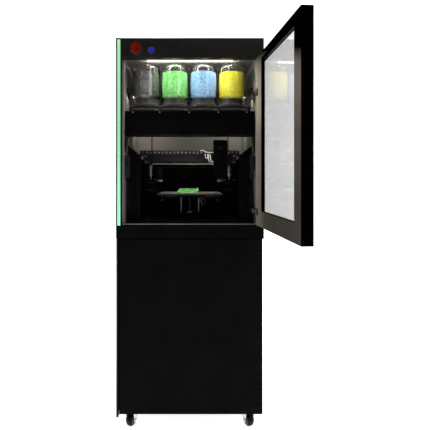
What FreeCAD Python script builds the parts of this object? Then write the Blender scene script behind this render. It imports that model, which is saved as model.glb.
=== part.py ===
"""Cabinet-type pellet-extrusion 3D printer on castors, upper door standing open.

Frame: +Z up, front faces -Y, +X to the right seen from the front.
Origin: on the floor, under the middle of the 600 x 600 mm cabinet.
"""

import FreeCAD, Part
import math
import os

V = FreeCAD.Vector
X_AXIS = V(1, 0, 0)
Z_AXIS = V(0, 0, 1)

# Cabinet, outside (mm)
WIDTH = 600.0
DEPTH = 600.0
HEIGHT = 1600.0
SHEET = 2.0
PANEL = 20.0
SOFT = 1.5
BASE = 73.0
FRONT = -DEPTH / 2
BACK = DEPTH / 2
CARCASS = FRONT + 38.0
EDGE = WIDTH / 2
INSIDE = EDGE - PANEL
ROOF = HEIGHT - PANEL
REAR_SKIN = BACK - PANEL

# Front faces
HEADER_BOTTOM = HEIGHT - 80.0
BAND = (786.0, 840.0)
LED_BAR = (-EDGE, -EDGE + 20.0)
LENS_X = (LED_BAR[0] + 5.2, LED_BAR[1] - 2.0)
LENS_DEEP = 10.0
LENS_END = 6.0

# Heated chamber
WALL = 272.0
FLOOR = 843.0
CEILING = 1530.0
REAR_WALL = 250.0
REAR_SEAM = 200.0
SEAM_GAP = 6.0
STRIP_X = 180.0
STRIP_Y = (-234.0, -221.0)
STRIP_THICK = 6.0

# Upper door, drawn closed and then swung to its rest angle
DOOR_X = (-278.0, 300.0)
DOOR_Y = (FRONT - 2.0, FRONT + 36.0)
DOOR_Z = (841.0, 1519.0)
DOOR_REST = 94.2
DOOR_PIVOT = V(297.0, FRONT + 7.0, 0)
WINDOW_X = (DOOR_X[0] + 63.5, DOOR_X[1] - 96.0)
WINDOW_Z = (DOOR_Z[0] + 62.0, DOOR_Z[1] - 24.0)
RIM = 16.0
INNER_FRAME = 14.5
GLASS = 6.0
BEAD = 6.0
HINGE_Z = (896.0, 1376.0)
CUP_X = DOOR_X[1] - 24.0
CUP_R = 17.5
CUP_DEEP = 11.0

# Lower door
LOWER_X = (-286.0, 294.0)
LOWER_Z = (75.0, 784.0)
LOWER_BACK = FRONT + 34.0
PULL_X = (-299.0, -290.0)
PULL_BOTTOM = 63.0

# Push buttons on the header
ESTOP = (-216.0, 1554.0)
ESTOP_R = 23.0
START = (-156.5, 1549.5)
START_R = 11.5
ESTOP_STEM = 8.0
START_STEM = 6.0
STEM_GAP = 0.5

# Feed box, jar tray and jars
FEED_Y = (-245.0, -112.0)
FEED_Z = (1215.0, 1311.0)
FEED_COVER_TOP = 1281.0
JAR_PITCH = 122.5
JAR_MIDDLE = -3.5
JAR_Y = -180.0
JAR_R = 58.0
JAR_WALL = 2.5
JAR_BOTTOM = 1367.0
JAR_SHOULDER = 1490.0
SHOULDER_R = 24.0
JAR_CROWN = 1.5
PELLET_TOP = 1484.0
CAP_R = 52.0
TRAY_X = 253.0
TRAY_Z = (1312.0, 1330.0)
CARRIER_TOP = 1345.0
DROP_R = 9.0
JAR_CENTRES = [JAR_MIDDLE + JAR_PITCH * step for step in (-1.5, -0.5, 0.5, 1.5)]
FEED_SHAFT = (JAR_Y, 1262.0)

# Extrusion frame of the printer
BAR = 45.0
PILLAR_X = 232.0
FRONT_PILLAR_Y = -194.0
REAR_PILLAR_Y = 181.0
FRAME_TOP = 1130.0
UPRIGHT_X = (141.0, 172.0)
UPRIGHT_Y = (205.0, 235.0)

# Gantry, moving along Y, and carriage, moving along X
GANTRY_Y = (5.0, 35.0)
BEAM_Z = (1108.0, 1141.0)
BEAM_X = 184.0
RAIL_IN = 203.5
RAIL_Z = (1114.0, 1126.0)
ROD_Y = 18.0
ROD_Z = 1100.0
ROD_R = 6.0
ROD_X = 185.0
CHAIN_X = 239.0
CHAIN_Z = (1143.5, 1161.5)
CHAIN_PITCH = 18.4
HEAD_X = 140.0
TOWER_WIDE = 62.0
TOWER_Y = (-47.0, -3.0)
TOWER_Z = (1082.0, 1207.0)
NOZZLE_Z = 1013.0
FOOT_Z = NOZZLE_Z + 15.0
FOOT_HALF = 12.0
MELT_R = 9.0
BARREL_R = 10.5

# Drive stacks: motor, coupling and belt pulley, one on each side
MOTOR = 57.0
STACK_X = 196.0
STACK_Y = 128.0
STACK_PLATE = (1018.0, 1022.0)
COUPLING_Z = (1041.0, 1093.0)
COUPLING_R = 12.5
BELT_Z = (1098.0, 1108.0)
PULLEY_R = 6.0
IDLER_Y = -150.0

# Build plate and its lift
PLATE_X = 145.0
PLATE_Y = (-160.0, 195.0)
PLATE_Z = (957.0, 962.0)
GUIDE_X = 41.0
GUIDE_R = 5.0
SCREW_R = 6.0
NUT_R = 20.0
LIFT_BOTTOM = 700.0
HOUSING_TOP = 871.0
RUNNING = 0.05

# Printed insole: centre X, centre Y and radius of its two ends
TOE = (-11.0, 48.0, 52.0)
HEEL = (-14.0, 150.0, 34.0)
INSOLE_THIN = 4.0
INSOLE_CUP = 978.0
DISH_R = 150.0
ARCH_Y = (46.0, 100.0)
ARCH_TOP = 987.0

# Castors
CASTOR_X = 238.0
CASTOR_FRONT_Y = -225.0
CASTOR_REAR_Y = 232.0
CASTOR_TRAIL = 20.0
CASTOR_YAW = 20.0
WHEEL_R = 27.0
WHEEL_WIDE = 30.0
TREAD_CROWN = 12.5
AXLE_R = 4.0
PIN_R = 5.0
BOSS_R = 19.0
FORK_SHEET = 3.0


def box(x, y, z):
    """A block between the low and high values given for each axis."""
    size = (x[1] - x[0], y[1] - y[0], z[1] - z[0])
    return Part.makeBox(*size, V(x[0], y[0], z[0]))


def softened(shape, level, axis="Y", radius=SOFT):
    """Rounds the straight edges that lie in one plane, given by its axis and level."""
    flat = []
    for edge in shape.Edges:
        ends = [getattr(edge.BoundBox, axis + end) for end in ("Min", "Max")]
        straight = len(edge.Vertexes) == 2 and isinstance(edge.Curve, Part.Line)
        if straight and all(abs(end - level) < 0.01 for end in ends):
            flat.append(edge)
    return shape.makeFillet(radius, flat)


def along(edge, axis):
    """Whether a straight edge runs along an axis."""
    line = edge.Vertexes[-1].Point - edge.Vertexes[0].Point
    return abs(line.normalize().dot(axis)) > 0.999


def rounded(x, y, z, radius, axis=Z_AXIS):
    """A block whose four edges along an axis are rounded."""
    block = box(x, y, z)
    return block.makeFillet(radius, [e for e in block.Edges if along(e, axis)])


def rod(start, end, radius):
    """A round bar between two points."""
    start, end = V(*start), V(*end)
    return Part.makeCylinder(radius, (end - start).Length, start, end - start)


def tray(x, y, z, opening, sheet=SHEET):
    """A folded sheet tray: a block hollowed out, open on one side such as '-Y'."""
    low = [x[0] + sheet, y[0] + sheet, z[0] + sheet]
    high = [x[1] - sheet, y[1] - sheet, z[1] - sheet]
    side = "XYZ".index(opening[1])
    if opening[0] == "-":
        low[side] -= 2 * sheet
    else:
        high[side] += 2 * sheet
    hollow = box((low[0], high[0]), (low[1], high[1]), (low[2], high[2]))
    return box(x, y, z).cut(hollow)


def pair(shape):
    """A shape and its mirror image on the other side of the cabinet."""
    return [shape, shape.mirror(V(0, 0, 0), X_AXIS)]


def joined(*shapes):
    """Several touching or crossing shapes made into one solid."""
    return shapes[0].fuse(list(shapes[1:])).removeSplitter()


def turned(shape, centre, degrees):
    """A copy turned about an upright axis through a centre."""
    copy = shape.copy()
    copy.rotate(centre, Z_AXIS, degrees)
    return copy


def save(node, *shapes):
    """Writes one node; several separate solids go in as a group."""
    shape = shapes[0] if len(shapes) == 1 else Part.makeCompound(list(shapes))
    shape.exportStep(f"parts/{node}.step")
    print(f"{node}: {len(shape.Solids)} solid(s), {shape.Volume / 1000:.0f} cm3, valid {shape.isValid()}")


def extrusion(x, y, z, axis):
    """A slotted aluminium bar: a square block with a T-slot mouth in each long face."""
    mouth, deep = 8.0, 5.0
    bar = box(x, y, z)
    spans = [x, y, z]
    length = "XYZ".index(axis)
    cross = [i for i in range(3) if i != length]
    for side, other in (cross, cross[::-1]):
        middle = sum(spans[other]) / 2
        for edge in spans[side]:
            slot = list(spans)
            slot[other] = (middle - mouth / 2, middle + mouth / 2)
            slot[side] = (edge - deep, edge + deep)
            bar = bar.cut(box(*slot))
    return bar


def make_casing():
    """The folded-sheet outside of the cabinet."""
    save("side_panels", *pair(tray((INSIDE, EDGE), (CARCASS, BACK), (BASE, ROOF), "-X")))
    top = tray((-EDGE, EDGE), (CARCASS, BACK), (ROOF, HEIGHT), "-Z")
    save("top_panel", softened(top, HEIGHT, "Z"))
    save("base_panel", tray((-INSIDE, INSIDE), (CARCASS, REAR_SKIN), (BASE, BASE + PANEL), "+Z"))
    back = tray((-INSIDE, INSIDE), (REAR_SKIN, BACK), (BASE, ROOF), "-Y")
    slots = []
    for row in range(9):
        low = 300.0 + row * 22.0
        for middle in (-110.0, 110.0):
            slots.append(box((middle - 70, middle + 70), (BACK - 5, BACK + 5), (low, low + 7)))
    slots.append(box((-226.0, -194.0), (BACK - 5, BACK + 5), (138.0, 162.0)))
    save("back_panel", back.cut(slots))
    header = tray((LED_BAR[1], EDGE), (FRONT, CARCASS), (HEADER_BOTTOM, HEIGHT), "+Y")
    header = softened(header, FRONT)
    for place, radius in ((ESTOP, ESTOP_STEM + STEM_GAP), (START, START_STEM + STEM_GAP)):
        hole = rod((place[0], FRONT - 5, place[1]), (place[0], FRONT + 10, place[1]), radius)
        header = header.cut(hole)
    save("header_fascia", header)
    save("front_band", softened(tray((-EDGE, EDGE), (FRONT, CARCASS), BAND, "+Y"), FRONT))


def make_led_bars():
    """The upright light bar at the left front edge, and the light strip under the ceiling."""
    lens_back = FRONT + LENS_DEEP
    lens_z = (BAND[1], HEIGHT - LENS_END)
    profile = box(LED_BAR, (FRONT, CARCASS), (BAND[1], HEIGHT))
    profile = profile.cut(box(LENS_X, (FRONT - 1, lens_back), (lens_z[0] - 1, lens_z[1])))
    save("led_profile", profile)
    save("led_diffuser", rounded(LENS_X, (FRONT, lens_back), lens_z, 1.5))
    save("ceiling_led_strip", box((-STRIP_X, STRIP_X), STRIP_Y, (CEILING - STRIP_THICK, CEILING)))


def make_chamber():
    """The lining of the heated chamber."""
    length = (CARCASS, REAR_WALL)
    wall = box((WALL, WALL + SHEET), length, (FLOOR, CEILING + SHEET))
    flange = box((WALL, INSIDE), (CARCASS, CARCASS + SHEET), (FLOOR, CEILING + SHEET))
    ceiling = box((-WALL, WALL), length, (CEILING, CEILING + SHEET))
    brow = box((-INSIDE, INSIDE), (CARCASS, CARCASS + SHEET), (CEILING, ROOF))
    save("chamber_liner", joined(ceiling, brow, *pair(wall), *pair(flange)))
    floor = tray((-INSIDE, INSIDE), (CARCASS, REAR_SKIN), (FLOOR - 8, FLOOR), "-Z")
    for centre in (-GUIDE_X, 0.0, GUIDE_X):
        floor = floor.cut(rod((centre, 0, FLOOR - 20), (centre, 0, FLOOR + 5), GUIDE_R + 3))
    save("chamber_floor", floor)
    rear = (REAR_WALL, REAR_WALL + SHEET)
    upright = (FLOOR, CEILING)
    middle = box((-REAR_SEAM + SEAM_GAP / 2, REAR_SEAM - SEAM_GAP / 2), rear, upright)
    outer = box((REAR_SEAM + SEAM_GAP / 2, WALL), rear, upright)
    save("chamber_back_wall", middle, *pair(outer))


def swung(shape):
    """Moves a piece of the upper door from closed to its rest angle."""
    return turned(shape, DOOR_PIVOT, DOOR_REST)


def make_upper_door():
    """Framed glass door with two concealed hinges, standing open."""
    inner_face = DOOR_Y[1]
    glass_y = (inner_face - INNER_FRAME - GLASS, inner_face - INNER_FRAME)
    pane_x = (DOOR_X[0] + RIM, DOOR_X[1] - RIM)
    pane_z = (DOOR_Z[0] + RIM, DOOR_Z[1] - RIM)
    frame = softened(rounded(DOOR_X, DOOR_Y, DOOR_Z, 4.0), inner_face)
    frame = frame.cut(box(WINDOW_X, (DOOR_Y[0] - 1, inner_face + 1), WINDOW_Z))
    frame = frame.cut(box(pane_x, (DOOR_Y[0] - 1, glass_y[1]), pane_z))
    cups = []
    for height in HINGE_Z:
        start = (CUP_X, inner_face, height)
        end = (CUP_X, inner_face - CUP_DEEP, height)
        frame = frame.cut(rod(start, end, CUP_R))
        rim = rod(start, end, CUP_R)
        cups.append(swung(rim.cut(rod(start, (CUP_X, end[1] + 2, height), CUP_R - 2))))
    save("door_frame", swung(frame))
    save("hinge_cups", *cups)
    save("door_glass", swung(box(pane_x, glass_y, pane_z)))
    bead = box(pane_x, (glass_y[0] - BEAD, glass_y[0]), pane_z)
    hole_x = (pane_x[0] + BEAD, pane_x[1] - BEAD)
    hole_z = (pane_z[0] + BEAD, pane_z[1] - BEAD)
    bead = bead.cut(box(hole_x, (glass_y[0] - BEAD - 1, glass_y[0] + 1), hole_z))
    save("door_gasket", swung(bead))
    arms = []
    for height in HINGE_Z:
        plate = box((WALL - 2, WALL), (-252.0, -206.0), (height - 24, height + 24))
        arm = rounded((WALL - 14, WALL - 2), (-259.0, -200.0), (height - 9, height + 9), 3.0, X_AXIS)
        arms.append(joined(plate, arm))
    save("hinge_arms", *arms)


def make_lower_door():
    """Closed sheet door of the electronics bay, with its upright edge pull."""
    save("lower_door_panel", softened(tray(LOWER_X, (FRONT, LOWER_BACK), LOWER_Z, "+Y"), FRONT))
    upright = (PULL_BOTTOM, LOWER_Z[1])
    web = rounded(PULL_X, (FRONT, LOWER_BACK + 2), upright, 2.5)
    flange = box((PULL_X[1] - 4, -262.0), (LOWER_BACK, LOWER_BACK + 2), (LOWER_Z[0], LOWER_Z[1]))
    save("lower_door_pull", joined(web, flange))


def make_buttons():
    """Emergency stop and start button with their bezels."""
    x, z = ESTOP
    bezel = rod((x, FRONT - 4, z), (x, FRONT, z), ESTOP_R + 2)
    bezel = bezel.cut(rod((x, FRONT - 5, z), (x, FRONT + 1, z), ESTOP_STEM + STEM_GAP))
    head = rod((x, FRONT - 30, z), (x, FRONT - 12, z), ESTOP_R)
    crown = [e for e in head.Edges if abs(e.BoundBox.YMin - (FRONT - 30)) < 0.01 and e.Closed]
    head = head.makeFillet(7.0, crown[:1])
    stem = rod((x, FRONT - 13, z), (x, FRONT + 30, z), ESTOP_STEM)
    save("estop_button", joined(head, stem))
    x, z = START
    ring = rod((x, FRONT - 3, z), (x, FRONT, z), START_R + 3)
    ring = ring.cut(rod((x, FRONT - 4, z), (x, FRONT + 1, z), START_R + 0.4))
    save("control_bezels", bezel, ring)
    cap = rod((x, FRONT - 9, z), (x, FRONT - 4, z), START_R)
    save("start_button", joined(cap, rod((x, FRONT - 5, z), (x, FRONT + 20, z), START_STEM)))


def make_wall_fittings():
    """Door lock, junction box and cable conduits on the side walls."""
    lock = rounded((-WALL, -WALL + 22), (-257.0, -218.0), (1036.0, 1122.0), 2.0, X_AXIS)
    lock = lock.cut(box((-WALL + 6, -WALL + 16), (-258.0, -246.0), (1086.0, 1106.0)))
    save("door_lock", lock)
    conduits = []
    for side in (-1, 1):
        ends = [V(side * 261.0, FRONT_PILLAR_Y, z) for z in (FLOOR + 2, 1032.0)]
        bow = V(side * 265.0, FRONT_PILLAR_Y, 940.0)
        path = Part.Wire([Part.Arc(ends[0], bow, ends[1]).toShape()])
        circle = Part.Wire([Part.Circle(ends[0], path.Edges[0].tangentAt(0), 5.5).toShape()])
        hose = path.makePipe(Part.Face(circle))
        conduits.append(hose)
        clip_x = sorted((side * 254.5, side * (WALL - 0.5)))
        conduits.append(box(clip_x, (-202.0, -186.0), (1032.0, 1036.0)))
    junction = rounded((WALL - 23, WALL), (-257.0, -218.0), (1067.0, 1120.0), 2.0, X_AXIS)
    save("wall_conduits", junction, *conduits)


def make_feed_box():
    """Dosing box under the jars, its cover, gussets, shaft and wheels."""
    across = (-WALL, WALL)
    shell = tray(across, FEED_Y, FEED_Z, "-Y")
    strip_y = (FEED_Y[0] + 2, FEED_Y[0] + 4)
    strip = box((-WALL + 1, WALL - 1), strip_y, (FEED_COVER_TOP - 6, FEED_Z[1] - 1))
    shell = joined(shell, strip)
    for centre in JAR_CENTRES:
        shell = shell.cut(rod((centre, JAR_Y, FEED_Z[1] - 5), (centre, JAR_Y, FEED_Z[1] + 5), DROP_R))
    corners = [V(WALL, FEED_Y[0], FEED_Z[0]), V(WALL, -140.0, FEED_Z[0]), V(WALL, FEED_Y[0], 1136.0)]
    triangle = Part.Face(Part.makePolygon(corners + corners[:1]))
    save("feed_box", shell, *pair(triangle.extrude(V(-3, 0, 0))))
    save("feed_box_cover", rounded(across, (FEED_Y[0] - 4, FEED_Y[0]), (FEED_Z[0], FEED_COVER_TOP), 1.5))
    y, z = FEED_SHAFT
    shaft = rod((-WALL + 10, y, z), (221.7, y, z), 6.0)
    for centre in JAR_CENTRES:
        wheel = rod((centre - 18, y, z), (centre + 18, y, z), 24.0)
        for step in range(8):
            angle = math.radians(45 * step)
            pocket = (y + 26 * math.cos(angle), z + 26 * math.sin(angle))
            wheel = wheel.cut(rod((centre - 14, *pocket), (centre + 14, *pocket), 7.0))
        shaft = shaft.fuse(wheel)
    save("feed_shaft", shaft)


def revolved(points):
    """A solid turned from (radius, height) points; a point of four numbers is the middle and end of an arc."""
    edges = []
    last = points[0]
    for point in points[1:] + points[:1]:
        if len(point) == 4:
            middle, end = V(point[0], 0, point[1]), V(point[2], 0, point[3])
            edges.append(Part.Arc(V(last[-2], 0, last[-1]), middle, end).toShape())
        else:
            edges.append(Part.makeLine(V(last[-2], 0, last[-1]), V(point[0], 0, point[1])))
        last = point
    return Part.Face(Part.Wire(edges)).revolve(V(0, 0, 0), Z_AXIS, 360)


def corner(radius, base, bend):
    """The middle and end of the arc that rounds a shoulder from a wall inwards."""
    flat = bend * (1 - math.sqrt(0.5))
    return (radius - flat, base + bend - flat, radius - bend, base + bend)


def make_jars():
    """Four clear jars of pellets, upside down in a tray that pulls out forwards."""
    inner = JAR_R - JAR_WALL
    neck = CAP_R - 4
    flat_r, flat_z = JAR_R - SHOULDER_R, JAR_SHOULDER + SHOULDER_R
    crown_z = flat_z + JAR_CROWN
    turn = corner(inner, JAR_SHOULDER, SHOULDER_R - JAR_WALL)
    jar = revolved([
        (neck - JAR_WALL, JAR_BOTTOM), (neck, JAR_BOTTOM), (JAR_R, JAR_BOTTOM + 8), (JAR_R, JAR_SHOULDER),
        corner(JAR_R, JAR_SHOULDER, SHOULDER_R),
        (0.0, crown_z), (0.0, crown_z - JAR_WALL), (flat_r, flat_z - JAR_WALL),
        (turn[0], turn[1], inner, JAR_SHOULDER), (inner, JAR_BOTTOM + 9),
    ])
    fill = inner - 0.4
    pellets = revolved([
        (0.0, JAR_BOTTOM + 1), (neck - JAR_WALL - 1, JAR_BOTTOM + 1), (fill, JAR_BOTTOM + 11),
        (fill, PELLET_TOP - 6), (fill - 10, PELLET_TOP), (0.0, PELLET_TOP + 4),
    ])
    cap = revolved([(DROP_R, CARRIER_TOP), (CAP_R, CARRIER_TOP), (CAP_R, JAR_BOTTOM), (DROP_R, JAR_BOTTOM)])
    jars, fills, caps = [], [], []
    tray_y = (FEED_Y[0], FEED_Y[1] - 4)
    base = rounded((-TRAY_X, TRAY_X), tray_y, TRAY_Z, 4.0)
    for centre in JAR_CENTRES:
        place = V(centre, JAR_Y, 0)
        jars.append(jar.translated(place))
        fills.append(pellets.translated(place))
        caps.append(cap.translated(place))
        seat = rod((centre, JAR_Y, TRAY_Z[1] - 1), (centre, JAR_Y, CARRIER_TOP), CAP_R + 6)
        hole = rod((centre, JAR_Y, TRAY_Z[0] - 1), (centre, JAR_Y, CARRIER_TOP + 1), DROP_R)
        base = base.fuse(seat).cut(hole)
    save("jars", *jars)
    save("pellets", *fills)
    save("jar_caps", *caps)
    save("jar_tray", base)


def make_printer_frame():
    """Slotted aluminium frame that carries the motion system."""
    half = BAR / 2
    bars = []
    for y in (FRONT_PILLAR_Y, REAR_PILLAR_Y):
        span = (PILLAR_X - half, PILLAR_X + half)
        bars += pair(extrusion(span, (y - half, y + half), (FLOOR, FRAME_TOP), "Z"))
    between = (FRONT_PILLAR_Y + half, REAR_PILLAR_Y - half)
    inner = PILLAR_X - half
    for z in ((FLOOR, FLOOR + BAR), (FRAME_TOP - BAR, FRAME_TOP)):
        bars += pair(extrusion((inner, PILLAR_X + half), between, z, "Y"))
        bars.append(extrusion((-inner, inner), (REAR_PILLAR_Y - half, REAR_PILLAR_Y + half), z, "X"))
    bars += pair(extrusion(UPRIGHT_X, UPRIGHT_Y, (FLOOR, 1098.0), "Z"))
    bars.append(box((-UPRIGHT_X[0], UPRIGHT_X[0]), (224.0, 227.0), (FLOOR, 1085.0)))
    low, high = FRAME_TOP, 1168.0
    front = FRONT_PILLAR_Y - half
    corners = [V(224.0, front, low), V(262.0, front, low), V(262.0, front, high), V(224.0, front, 1140.0)]
    plate = Part.Face(Part.makePolygon(corners + corners[:1])).extrude(V(0, 3, 0))
    bars += pair(plate)
    save("printer_frame", *bars)
    rail = box((RAIL_IN, inner), between, RAIL_Z)
    save("y_rails", *pair(rail))


def belt_loop():
    """One toothed belt round its drive pulley and front idler."""
    inside = PULLEY_R + 0.3
    outside = inside + 1.4
    loops = []
    for radius in (outside, inside):
        ends = [rod((STACK_X, y, BELT_Z[0]), (STACK_X, y, BELT_Z[1]), radius) for y in (STACK_Y, IDLER_Y)]
        middle = box((STACK_X - radius, STACK_X + radius), (IDLER_Y, STACK_Y), BELT_Z)
        loops.append(joined(middle, *ends))
    return loops[0].cut(loops[1])


def make_drives():
    """Belt drives of the gantry, with the motors of the machine."""
    half = MOTOR / 2
    bay = (STACK_Y - half, STACK_Y + half)
    motor = rounded((STACK_X - half, STACK_X + half), bay, (STACK_PLATE[0] - 56, STACK_PLATE[0]), 5.0)
    lift_motor = rounded((-half, half), (-half, half), (FLOOR - 8 - 74, FLOOR - 8), 5.0)
    lift_motor = lift_motor.cut(rod((0, 0, 700), (0, 0, FLOOR), SCREW_R + 1))
    y, z = FEED_SHAFT
    feed_motor = rounded((222.0, 264.0), (y - 21, y + 21), (z - 21, z + 21), 4.0, X_AXIS)
    save("stepper_motors", *pair(motor), lift_motor, feed_motor)
    plate = box((STACK_X - half - 3, PILLAR_X + 20), (bay[0], REAR_PILLAR_Y - BAR / 2), STACK_PLATE)
    plate = plate.cut(rod((STACK_X, STACK_Y, 1010), (STACK_X, STACK_Y, 1030), 6.0))
    idler = rod((STACK_X, IDLER_Y, BELT_Z[0] + 0.5), (STACK_X, IDLER_Y, BELT_Z[1] - 0.5), PULLEY_R)
    idler_pin = rod((STACK_X, IDLER_Y, BELT_Z[0] - 14), (STACK_X, IDLER_Y, BELT_Z[0] + 1), 3.0)
    arm_z = (BELT_Z[0] - 14, BELT_Z[0] - 10)
    arm = box((STACK_X - 8, PILLAR_X - BAR / 2), (IDLER_Y - 8, IDLER_Y + 8), arm_z)
    housing = rounded((-62.0, 62.0), (-24.0, 24.0), (FLOOR, HOUSING_TOP), 4.0)
    for centre in (-GUIDE_X, GUIDE_X):
        bore = rod((centre, 0, FLOOR - 1), (centre, 0, HOUSING_TOP + 1), GUIDE_R + RUNNING)
        housing = housing.cut(bore)
    housing = housing.cut(rod((0, 0, FLOOR - 1), (0, 0, HOUSING_TOP + 1), NUT_R + RUNNING))
    save("drive_mounts", *pair(plate), *pair(joined(arm, idler_pin, idler)), housing)
    save("y_belts", *pair(belt_loop()))
    shaft = rod((STACK_X, STACK_Y, STACK_PLATE[0] + 0.3), (STACK_X, STACK_Y, BELT_Z[1] + 3), 3.2)
    low, high = COUPLING_Z
    parts = [shaft]
    for z0, z1, radius in ((low, low + 14, 1.0), (low + 14, high - 14, 0.82), (high - 14, high, 1.0)):
        parts.append(rod((STACK_X, STACK_Y, z0), (STACK_X, STACK_Y, z1), COUPLING_R * radius))
    parts.append(rod((STACK_X, STACK_Y, BELT_Z[0] + 0.3), (STACK_X, STACK_Y, BELT_Z[1] - 0.3), PULLEY_R))
    right, left = pair(joined(*parts))
    save("drive_coupling_right", right)
    save("drive_coupling_left", left)


def make_gantry():
    """Cross beam with its rod and cable chain, running along Y."""
    beam = rounded((-BEAM_X, BEAM_X), GANTRY_Y, BEAM_Z, 3.0, X_AXIS)
    block = box((BEAM_X, RAIL_IN - 0.3), (GANTRY_Y[0] - 12, GANTRY_Y[1] + 12), (BEAM_Z[0] + 2, BEAM_Z[1]))
    clamp = box((BEAM_X - 6, BEAM_X + 3), (ROD_Y - 9, ROD_Y + 9), (ROD_Z - 9, BEAM_Z[0] + 4))
    shelf = box((-CHAIN_X, CHAIN_X), (GANTRY_Y[0] + 1, GANTRY_Y[1] - 1), (BEAM_Z[1] - 1, CHAIN_Z[0]))
    bar = rod((-ROD_X, ROD_Y, ROD_Z), (ROD_X, ROD_Y, ROD_Z), ROD_R)
    save("gantry_beam", joined(beam, shelf, *pair(block), *pair(clamp)).cut(bar))
    save("gantry_rod", bar)
    chain = box((-CHAIN_X, CHAIN_X), (GANTRY_Y[0] + 2, GANTRY_Y[1] - 2), CHAIN_Z)
    windows = []
    for step in range(int(2 * CHAIN_X / CHAIN_PITCH)):
        low = -CHAIN_X + 5 + step * CHAIN_PITCH
        windows.append(box((low, low + 9), (GANTRY_Y[0], GANTRY_Y[1]), (CHAIN_Z[0] + 4, CHAIN_Z[1] - 5)))
    save("cable_chain", chain.cut(windows))


def hopper_foot():
    """The lower end of the hopper: its sides bend in, from upright, to the melt block."""
    half, low = TOWER_WIDE / 2, TOWER_Z[0]
    inset, drop = half - FOOT_HALF, low - FOOT_Z
    bend = (inset ** 2 + drop ** 2) / (2 * inset)
    half_turn = math.asin(drop / bend) / 2
    middle = (half - bend * (1 - math.cos(half_turn)), low - bend * math.sin(half_turn))
    edges = []
    for side in (-1, 1):
        points = [V(HEAD_X + side * x, TOWER_Y[0], z) for x, z in ((half, low), middle, (FOOT_HALF, FOOT_Z))]
        edges.append(Part.Arc(*points).toShape())
    for x, z in ((half, low), (FOOT_HALF, FOOT_Z)):
        edges.append(Part.makeLine(V(HEAD_X - x, TOWER_Y[0], z), V(HEAD_X + x, TOWER_Y[0], z)))
    outline = Part.Wire(Part.sortEdges(edges)[0])
    return Part.Face(outline).extrude(V(0, TOWER_Y[1] - TOWER_Y[0], 0))


def make_print_head():
    """Pellet extruder: hopper tower, screw and hot end, running along X."""
    half = TOWER_WIDE / 2
    span = (HEAD_X - half, HEAD_X + half)
    middle_y = sum(TOWER_Y) / 2
    tower = box(span, TOWER_Y, TOWER_Z)
    plate = box((span[0] + 3, span[1] - 3), (TOWER_Y[1] - 1, 2.0), (TOWER_Z[0] + 2, BEAM_Z[1] + 4))
    bush = box((HEAD_X - 18, HEAD_X + 18), (1.0, 30.0), (1086.0, BEAM_Z[0] - 0.5))
    bush = bush.cut(rod((HEAD_X - 20, ROD_Y, ROD_Z), (HEAD_X + 20, ROD_Y, ROD_Z), ROD_R + RUNNING))
    bore = rod((HEAD_X, middle_y, FOOT_Z - 1), (HEAD_X, middle_y, TOWER_Z[1] + 1), BARREL_R)
    save("hopper_tower", joined(tower, hopper_foot(), plate, bush).cut(bore))
    block = rod((HEAD_X, middle_y, NOZZLE_Z + 5), (HEAD_X, middle_y, FOOT_Z), MELT_R)
    tip = Part.makeCone(1.5, 6.0, 5.0, V(HEAD_X, middle_y, NOZZLE_Z), Z_AXIS)
    save("hot_end", joined(block, tip))
    screw = rod((HEAD_X, middle_y, FOOT_Z + 3), (HEAD_X, middle_y, TOWER_Z[1] - 6), 5.5)
    for step in range(14):
        z = FOOT_Z + 6 + step * 11.0
        screw = screw.fuse(rod((HEAD_X, middle_y, z), (HEAD_X, middle_y, z + 3), BARREL_R - 0.7))
    save("extruder_screw", screw)


def make_bed():
    """Build plate with its bracket, guides, screw and turning nut."""
    save("build_plate", rounded((-PLATE_X, PLATE_X), PLATE_Y, PLATE_Z, 4.0))
    under = (PLATE_Z[0] - 12, PLATE_Z[0])
    bracket = box((-112.0, 112.0), (-128.0, 168.0), under)
    for x in ((-96.0, -12.0), (12.0, 96.0)):
        for y in ((-112.0, -28.0), (38.0, 152.0)):
            bracket = bracket.cut(box(x, y, (under[0] - 1, under[1] + 1)))
    boss = rounded((-60.0, 60.0), (-22.0, 22.0), (under[0] - 4, under[0]), 4.0)
    tabs = [box((x, x + 44), (-134.0, -128.0), (under[0] - 6, under[1])) for x in (-110.0, 66.0)]
    save("bed_bracket", joined(bracket, boss, *tabs))
    top = under[0] - 4
    save("guide_rods", *pair(rod((GUIDE_X, 0, LIFT_BOTTOM), (GUIDE_X, 0, top), GUIDE_R)))
    save("lead_screw", rod((0, 0, LIFT_BOTTOM), (0, 0, top), SCREW_R))
    nut = rod((0, 0, FLOOR + 2), (0, 0, HOUSING_TOP + 5), NUT_R)
    save("lead_nut", nut.cut(rod((0, 0, FLOOR), (0, 0, HOUSING_TOP + 6), SCREW_R + RUNNING)))
    make_insole()


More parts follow.
